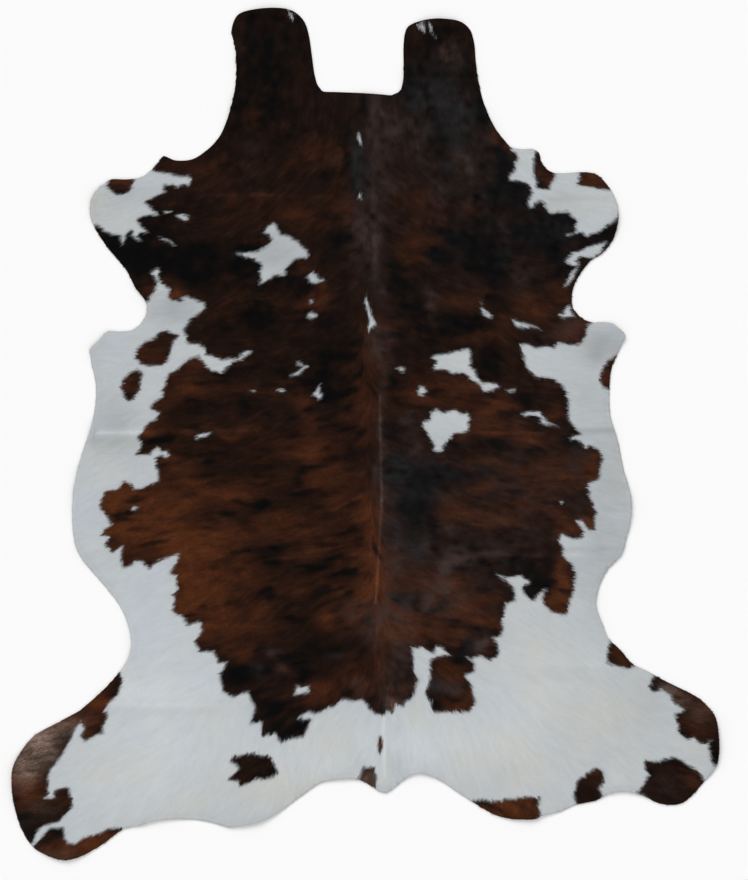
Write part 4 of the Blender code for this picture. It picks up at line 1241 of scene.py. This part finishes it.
# Noise. Columns: features for each metre, detail, roughness
TUFTS = (95.0, 3.0, 0.6)
HAIR_GRAIN = (900.0, 2.0, 0.6)
SUEDE_NAP = (420.0, 4.0, 0.65)
SUEDE_MOTTLE = (14.0, 3.0, 0.55)

# What noise does. Columns: a low and a high value of the noise, and what it gives at each
TUFTED_CHESTNUT = (0.25, 0.75, 0.85, 1.1)
HAIR_GRAIN_SHADE = (0.2, 0.8, 0.97, 1.03)
STAIN_MOTTLE = (0.25, 0.75, 0.5, 1.0)
NAP_SHADE = (0.3, 0.7, 0.0, 0.35)
NAP_ROUGHNESS = (0.2, 0.8, 0.86, 0.96)
SUEDE_SHADOW = 0.75  # brightness between the nap's tufts, as a share of the suede's

# How each lock differs by its own chance. Columns: how far up from the lowest, lowest
DARK_VARIETY = (0.12, 0.94)  # brightness of dark hair
WHITE_VARIETY = (0.03, 0.985)  # brightness of white hair
ROAN_VARIETY = (0.9, 0.35)  # how much of the coat's roan it takes

LOCK_DEPTH = 0.0
UNDER_HAIR_DEPTH = 1.0  # all the way down in the coat
DEPTH_SHADE = (0.22, 0.06)  # painted shade: how much darker the hair is painted there, between and under the locks: more for dark hair, and for all hair

# Roughness, shine and relief. Relief is a distance and a strength
WHITE_ROUGHNESS = 0.62
DARK_ROUGHNESS = 0.50
HAIR_SHINE = 0.02
SUEDE_SHINE = 0.2
LOCK_RELIEF = (0.0003, 0.15)
UNDER_HAIR_RELIEF = (0.0003, 0.6)
SUEDE_RELIEF = (0.0004, 0.6)


def new_group(name, inputs, outputs):
    """An empty shader node group with named inputs and outputs, and its two end nodes."""
    group = bpy.data.node_groups.new(name, "ShaderNodeTree")
    for label, kind, value in inputs:
        socket = group.interface.new_socket(label, in_out="INPUT", socket_type=kind)
        socket.default_value = value
    for label, kind in outputs:
        group.interface.new_socket(label, in_out="OUTPUT", socket_type=kind)
    start = group.nodes.new("NodeGroupInput")
    end = group.nodes.new("NodeGroupOutput")
    return group, start, end


def feed(tree, node, inputs):
    """Fill a node's inputs. Each value is a socket of another node or a plain value."""
    for key, value in inputs.items():
        if isinstance(value, bpy.types.NodeSocket):
            tree.links.new(value, node.inputs[key])
        else:
            node.inputs[key].default_value = value


def mix_colours(tree, share, first, second):
    """A node that mixes two colours."""
    node = tree.nodes.new("ShaderNodeMix")
    node.data_type = "RGBA"
    feed(tree, node, {0: share, 6: first, 7: second})
    return node.outputs[2]


def mix_values(tree, share, first, second):
    """A node that mixes two values."""
    node = tree.nodes.new("ShaderNodeMix")
    feed(tree, node, {0: share, 2: first, 3: second})
    return node.outputs[0]


def calculate(tree, operation, first, second=0.0, third=0.0, clamp=False):
    """A maths node."""
    node = tree.nodes.new("ShaderNodeMath")
    node.operation = operation
    node.use_clamp = clamp
    feed(tree, node, {0: first, 1: second, 2: third})
    return node.outputs[0]


def noise(tree, scale, detail, roughness):
    """Noise on the piece's own coordinates."""
    coordinates = tree.nodes.new("ShaderNodeTexCoord")
    texture = tree.nodes.new("ShaderNodeTexNoise")
    feed(tree, texture, {"Vector": coordinates.outputs["Object"], "Scale": scale,
                         "Detail": detail, "Roughness": roughness})
    return texture.outputs["Fac"]


def spread_values(tree, value, low, high, new_low, new_high):
    """A node that maps one range of values to another, and keeps within it."""
    node = tree.nodes.new("ShaderNodeMapRange")
    node.interpolation_type = "SMOOTHSTEP"
    feed(tree, node, {"Value": value, "From Min": low, "From Max": high, "To Min": new_low,
                      "To Max": new_high})
    return node.outputs["Result"]


def opaque(colour):
    """The colour with full opacity, as a socket keeps it."""
    return (*colour, 1.0)


def hair_colour(group, coat, strand, sheen):
    """The colour of the hair, from the amounts of each tone."""
    dark, chestnut, black = coat.outputs
    chance, roan, cool_sheen_and_warmth = strand.outputs
    tufted = spread_values(group, noise(group, *TUFTS), *TUFTED_CHESTNUT)
    mottled = calculate(group, "MULTIPLY", chestnut, tufted)
    dull_share = calculate(group, "MULTIPLY", mottled, 2.0, clamp=True)
    bright_share = calculate(group, "MULTIPLY_ADD", mottled, 2.0, -1.0, clamp=True)
    own_roan = calculate(group, "MULTIPLY_ADD", chance, *ROAN_VARIETY)
    grizzled = calculate(group, "MULTIPLY", roan, own_roan, clamp=True)
    hair = mix_colours(group, chance, opaque(DEEP_BROWN), opaque(WARM_BROWN))
    # GREY_SHEEN and COOL_SHEEN are mixed in as painted sheen
    for share, colour in ((dull_share, CHESTNUT), (bright_share, BRIGHT_CHESTNUT), (black, BLACK),
                          (sheen, GREY_SHEEN), (cool_sheen_and_warmth, COOL_SHEEN), (grizzled, ROAN)):
        hair = mix_colours(group, share, hair, opaque(colour))
    white = mix_colours(group, cool_sheen_and_warmth, opaque(COOL_WHITE), opaque(WARM_WHITE))
    return mix_colours(group, dark, white, hair)


def hair_shade(group, dark, chance, grain, shade, depth):
    """How bright the hair is: its own shade, varied by the lock, by painted shade at its depth in the
    coat, and by its grain.
    """
    loose = calculate(group, "MULTIPLY_ADD", chance, *DARK_VARIETY)
    even = calculate(group, "MULTIPLY_ADD", chance, *WHITE_VARIETY)
    shade = calculate(group, "MULTIPLY", shade, mix_values(group, dark, even, loose))
    shaded = calculate(group, "MULTIPLY_ADD", dark, *DEPTH_SHADE)
    shaded = calculate(group, "MULTIPLY", shaded, depth)
    shade = calculate(group, "MULTIPLY", shade, calculate(group, "SUBTRACT", 1.0, shaded))
    return calculate(group, "MULTIPLY", shade, spread_values(group, grain, *HAIR_GRAIN_SHADE))


def coat_group():
    """Colour, roughness and fine relief of cow hair, from the amounts kept at each point."""
    group, start, end = new_group(
        "cow hair",
        [("Coat", "NodeSocketColor", (1, 0, 0, 1)), ("Sheen", "NodeSocketFloat", 0.0),
         ("Strand", "NodeSocketColor", (0.5, 0, 0, 1)), ("Shade", "NodeSocketFloat", 1.0),
         ("Depth", "NodeSocketFloat", 0.0)],
        [("Color", "NodeSocketColor"), ("Roughness", "NodeSocketFloat"),
         ("Height", "NodeSocketFloat")])
    coat = group.nodes.new("ShaderNodeSeparateColor")
    strand = group.nodes.new("ShaderNodeSeparateColor")
    feed(group, coat, {0: start.outputs["Coat"]})
    feed(group, strand, {0: start.outputs["Strand"]})
    dark = coat.outputs[0]
    grain = noise(group, *HAIR_GRAIN)
    lit = group.nodes.new("ShaderNodeVectorMath")
    lit.operation = "SCALE"
    feed(group, lit, {0: hair_colour(group, coat, strand, start.outputs["Sheen"]),
                      "Scale": hair_shade(group, dark, strand.outputs[0], grain,
                                          start.outputs["Shade"], start.outputs["Depth"])})
    roughness = spread_values(group, dark, 0.0, 1.0, WHITE_ROUGHNESS, DARK_ROUGHNESS)
    feed(group, end, {"Color": lit.outputs[0], "Roughness": roughness, "Height": grain})
    return group


def new_material(name):
    """A material with its shader, ready for its nodes."""
    material = bpy.data.materials.new(name)
    material.use_nodes = True
    return material, material.node_tree, material.node_tree.nodes["Principled BSDF"]


def bump(tree, shader, height, distance, strength):
    """Fine relief on a shader."""
    node = tree.nodes.new("ShaderNodeBump")
    feed(tree, node, {"Height": height, "Distance": distance, "Strength": strength})
    feed(tree, shader, {"Normal": node.outputs["Normal"]})


def attribute_node(tree, name):
    """A node that reads one of the piece's own attributes."""
    node = tree.nodes.new("ShaderNodeAttribute")
    node.attribute_name = name
    return node


def hair_material(name, group, depth, relief):
    """Cow hair, coloured by the piece's own coat attributes."""
    material, tree, shader = new_material(name)
    coat = attribute_node(tree, "coat")
    strand = attribute_node(tree, "strand")
    hair = tree.nodes.new("ShaderNodeGroup")
    hair.node_tree = group
    feed(tree, hair, {"Coat": coat.outputs["Color"], "Sheen": coat.outputs["Alpha"],
                      "Strand": strand.outputs["Color"], "Shade": strand.outputs["Alpha"],
                      "Depth": depth})
    feed(tree, shader, {"Base Color": hair.outputs["Color"],
                        "Roughness": hair.outputs["Roughness"], "Specular IOR Level": HAIR_SHINE})
    bump(tree, shader, hair.outputs["Height"], *relief)
    return material


def suede_material():
    """Napped suede, darker under the dark patches, which show through it."""
    material, tree, shader = new_material("suede")
    nap = noise(tree, *SUEDE_NAP)
    patchy = spread_values(tree, noise(tree, *SUEDE_MOTTLE), *STAIN_MOTTLE)
    stain = calculate(tree, "MULTIPLY", attribute_node(tree, "coat").outputs["Fac"], patchy)
    colour = mix_colours(tree, stain, opaque(SUEDE), opaque(SUEDE_STAIN))
    shadow = tuple(SUEDE_SHADOW * part for part in SUEDE)
    colour = mix_colours(tree, spread_values(tree, nap, *NAP_SHADE), colour, opaque(shadow))
    feed(tree, shader, {"Base Color": colour, "Specular IOR Level": SUEDE_SHINE,
                        "Roughness": spread_values(tree, nap, *NAP_ROUGHNESS)})
    bump(tree, shader, nap, *SUEDE_RELIEF)
    return material


# ---- Studio ----

FLOOR = (0.97, 0.97, 0.97)  # colour of the floor
FLOOR_SIDE = 30.0
FLOOR_DROP = 0.0005  # how far the floor lies below the hide
FLOOR_ROUGHNESS = 0.9
FLOOR_SHINE = 0.1

# Broad even lights from far off, and an even white sky.
# Columns: name, strength, angle it fills, tilt from overhead and turn about the vertical (degrees)
LIGHTS = (("key light", 1.45, 40, -48, 25), ("fill light", 0.55, 60, 40, 20))
SKY = (1.0, 1.0, 1.0)
SKY_STRENGTH = 0.55

CAMERA_HEIGHT = 8.0
CAMERA_SENSOR = 36.0  # in millimetres, as Blender wants it
VIEW_HEIGHT = 2.376  # how much of the floor the picture shows, from its top to its bottom
VIEW_CENTRE = (0.0234, -0.0165)


def make_floor():
    """A plain pale floor under the hide."""
    bpy.ops.object.select_all(action="DESELECT")
    bpy.ops.mesh.primitive_plane_add(size=FLOOR_SIDE, location=(0, 0, -FLOOR_DROP))
    floor = bpy.context.object
    floor.name = "floor"
    material, tree, shader = new_material("pale floor")
    feed(tree, shader, {"Base Color": opaque(FLOOR), "Roughness": FLOOR_ROUGHNESS,
                        "Specular IOR Level": FLOOR_SHINE})
    floor.data.materials.append(material)


def make_light(name, strength, angle, tilt, turn):
    """One light, tilted from overhead and turned about the vertical."""
    light = bpy.data.lights.new(name, "SUN")
    light.energy = strength
    light.angle = math.radians(angle)
    lamp = bpy.data.objects.new(name, light)
    lamp.rotation_euler = (math.radians(tilt), 0, math.radians(turn))
    bpy.context.collection.objects.link(lamp)


def make_studio():
    """Soft light from above and from the neck end, on a pale floor."""
    make_floor()
    for light in LIGHTS:
        make_light(*light)
    world = bpy.data.worlds.new("studio")
    world.use_nodes = True
    feed(world.node_tree, world.node_tree.nodes["Background"],
         {"Color": opaque(SKY), "Strength": SKY_STRENGTH})
    bpy.context.scene.world = world
    bpy.context.scene.view_settings.view_transform = "Standard"


def make_camera():
    """A camera straight above the hide, with the neck at the top of the picture."""
    camera = bpy.data.cameras.new("camera")
    camera.sensor_width = CAMERA_SENSOR
    camera.lens = CAMERA_SENSOR * CAMERA_HEIGHT / VIEW_HEIGHT
    view = bpy.data.objects.new("camera", camera)
    view.location = (*VIEW_CENTRE, CAMERA_HEIGHT)
    bpy.context.collection.objects.link(view)
    bpy.context.scene.camera = view


# ---- The rug ----


def main():
    """The whole rug: its pieces, their materials, what they stand for, and the studio."""
    rim = smooth_loop(drawn_in(hide_rim(), RIM_INSET), RIM_STEP)
    coat = Coat(rim)
    leather = make_leather(rim, coat)
    under_hair = make_under_hair(rim, coat)
    locks = make_locks(coat)

    group = coat_group()
    leather.data.materials.append(suede_material())
    felt = hair_material("under hair", group, UNDER_HAIR_DEPTH, UNDER_HAIR_RELIEF)
    under_hair.data.materials.append(felt)
    lock_material = hair_material("hair", group, LOCK_DEPTH, LOCK_RELIEF)
    for piece in locks:
        piece.data.materials.append(lock_material)

    for piece in (leather, under_hair, *locks):
        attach(piece, "root")
        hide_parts("hide")
    make_studio()
    make_camera()


main()
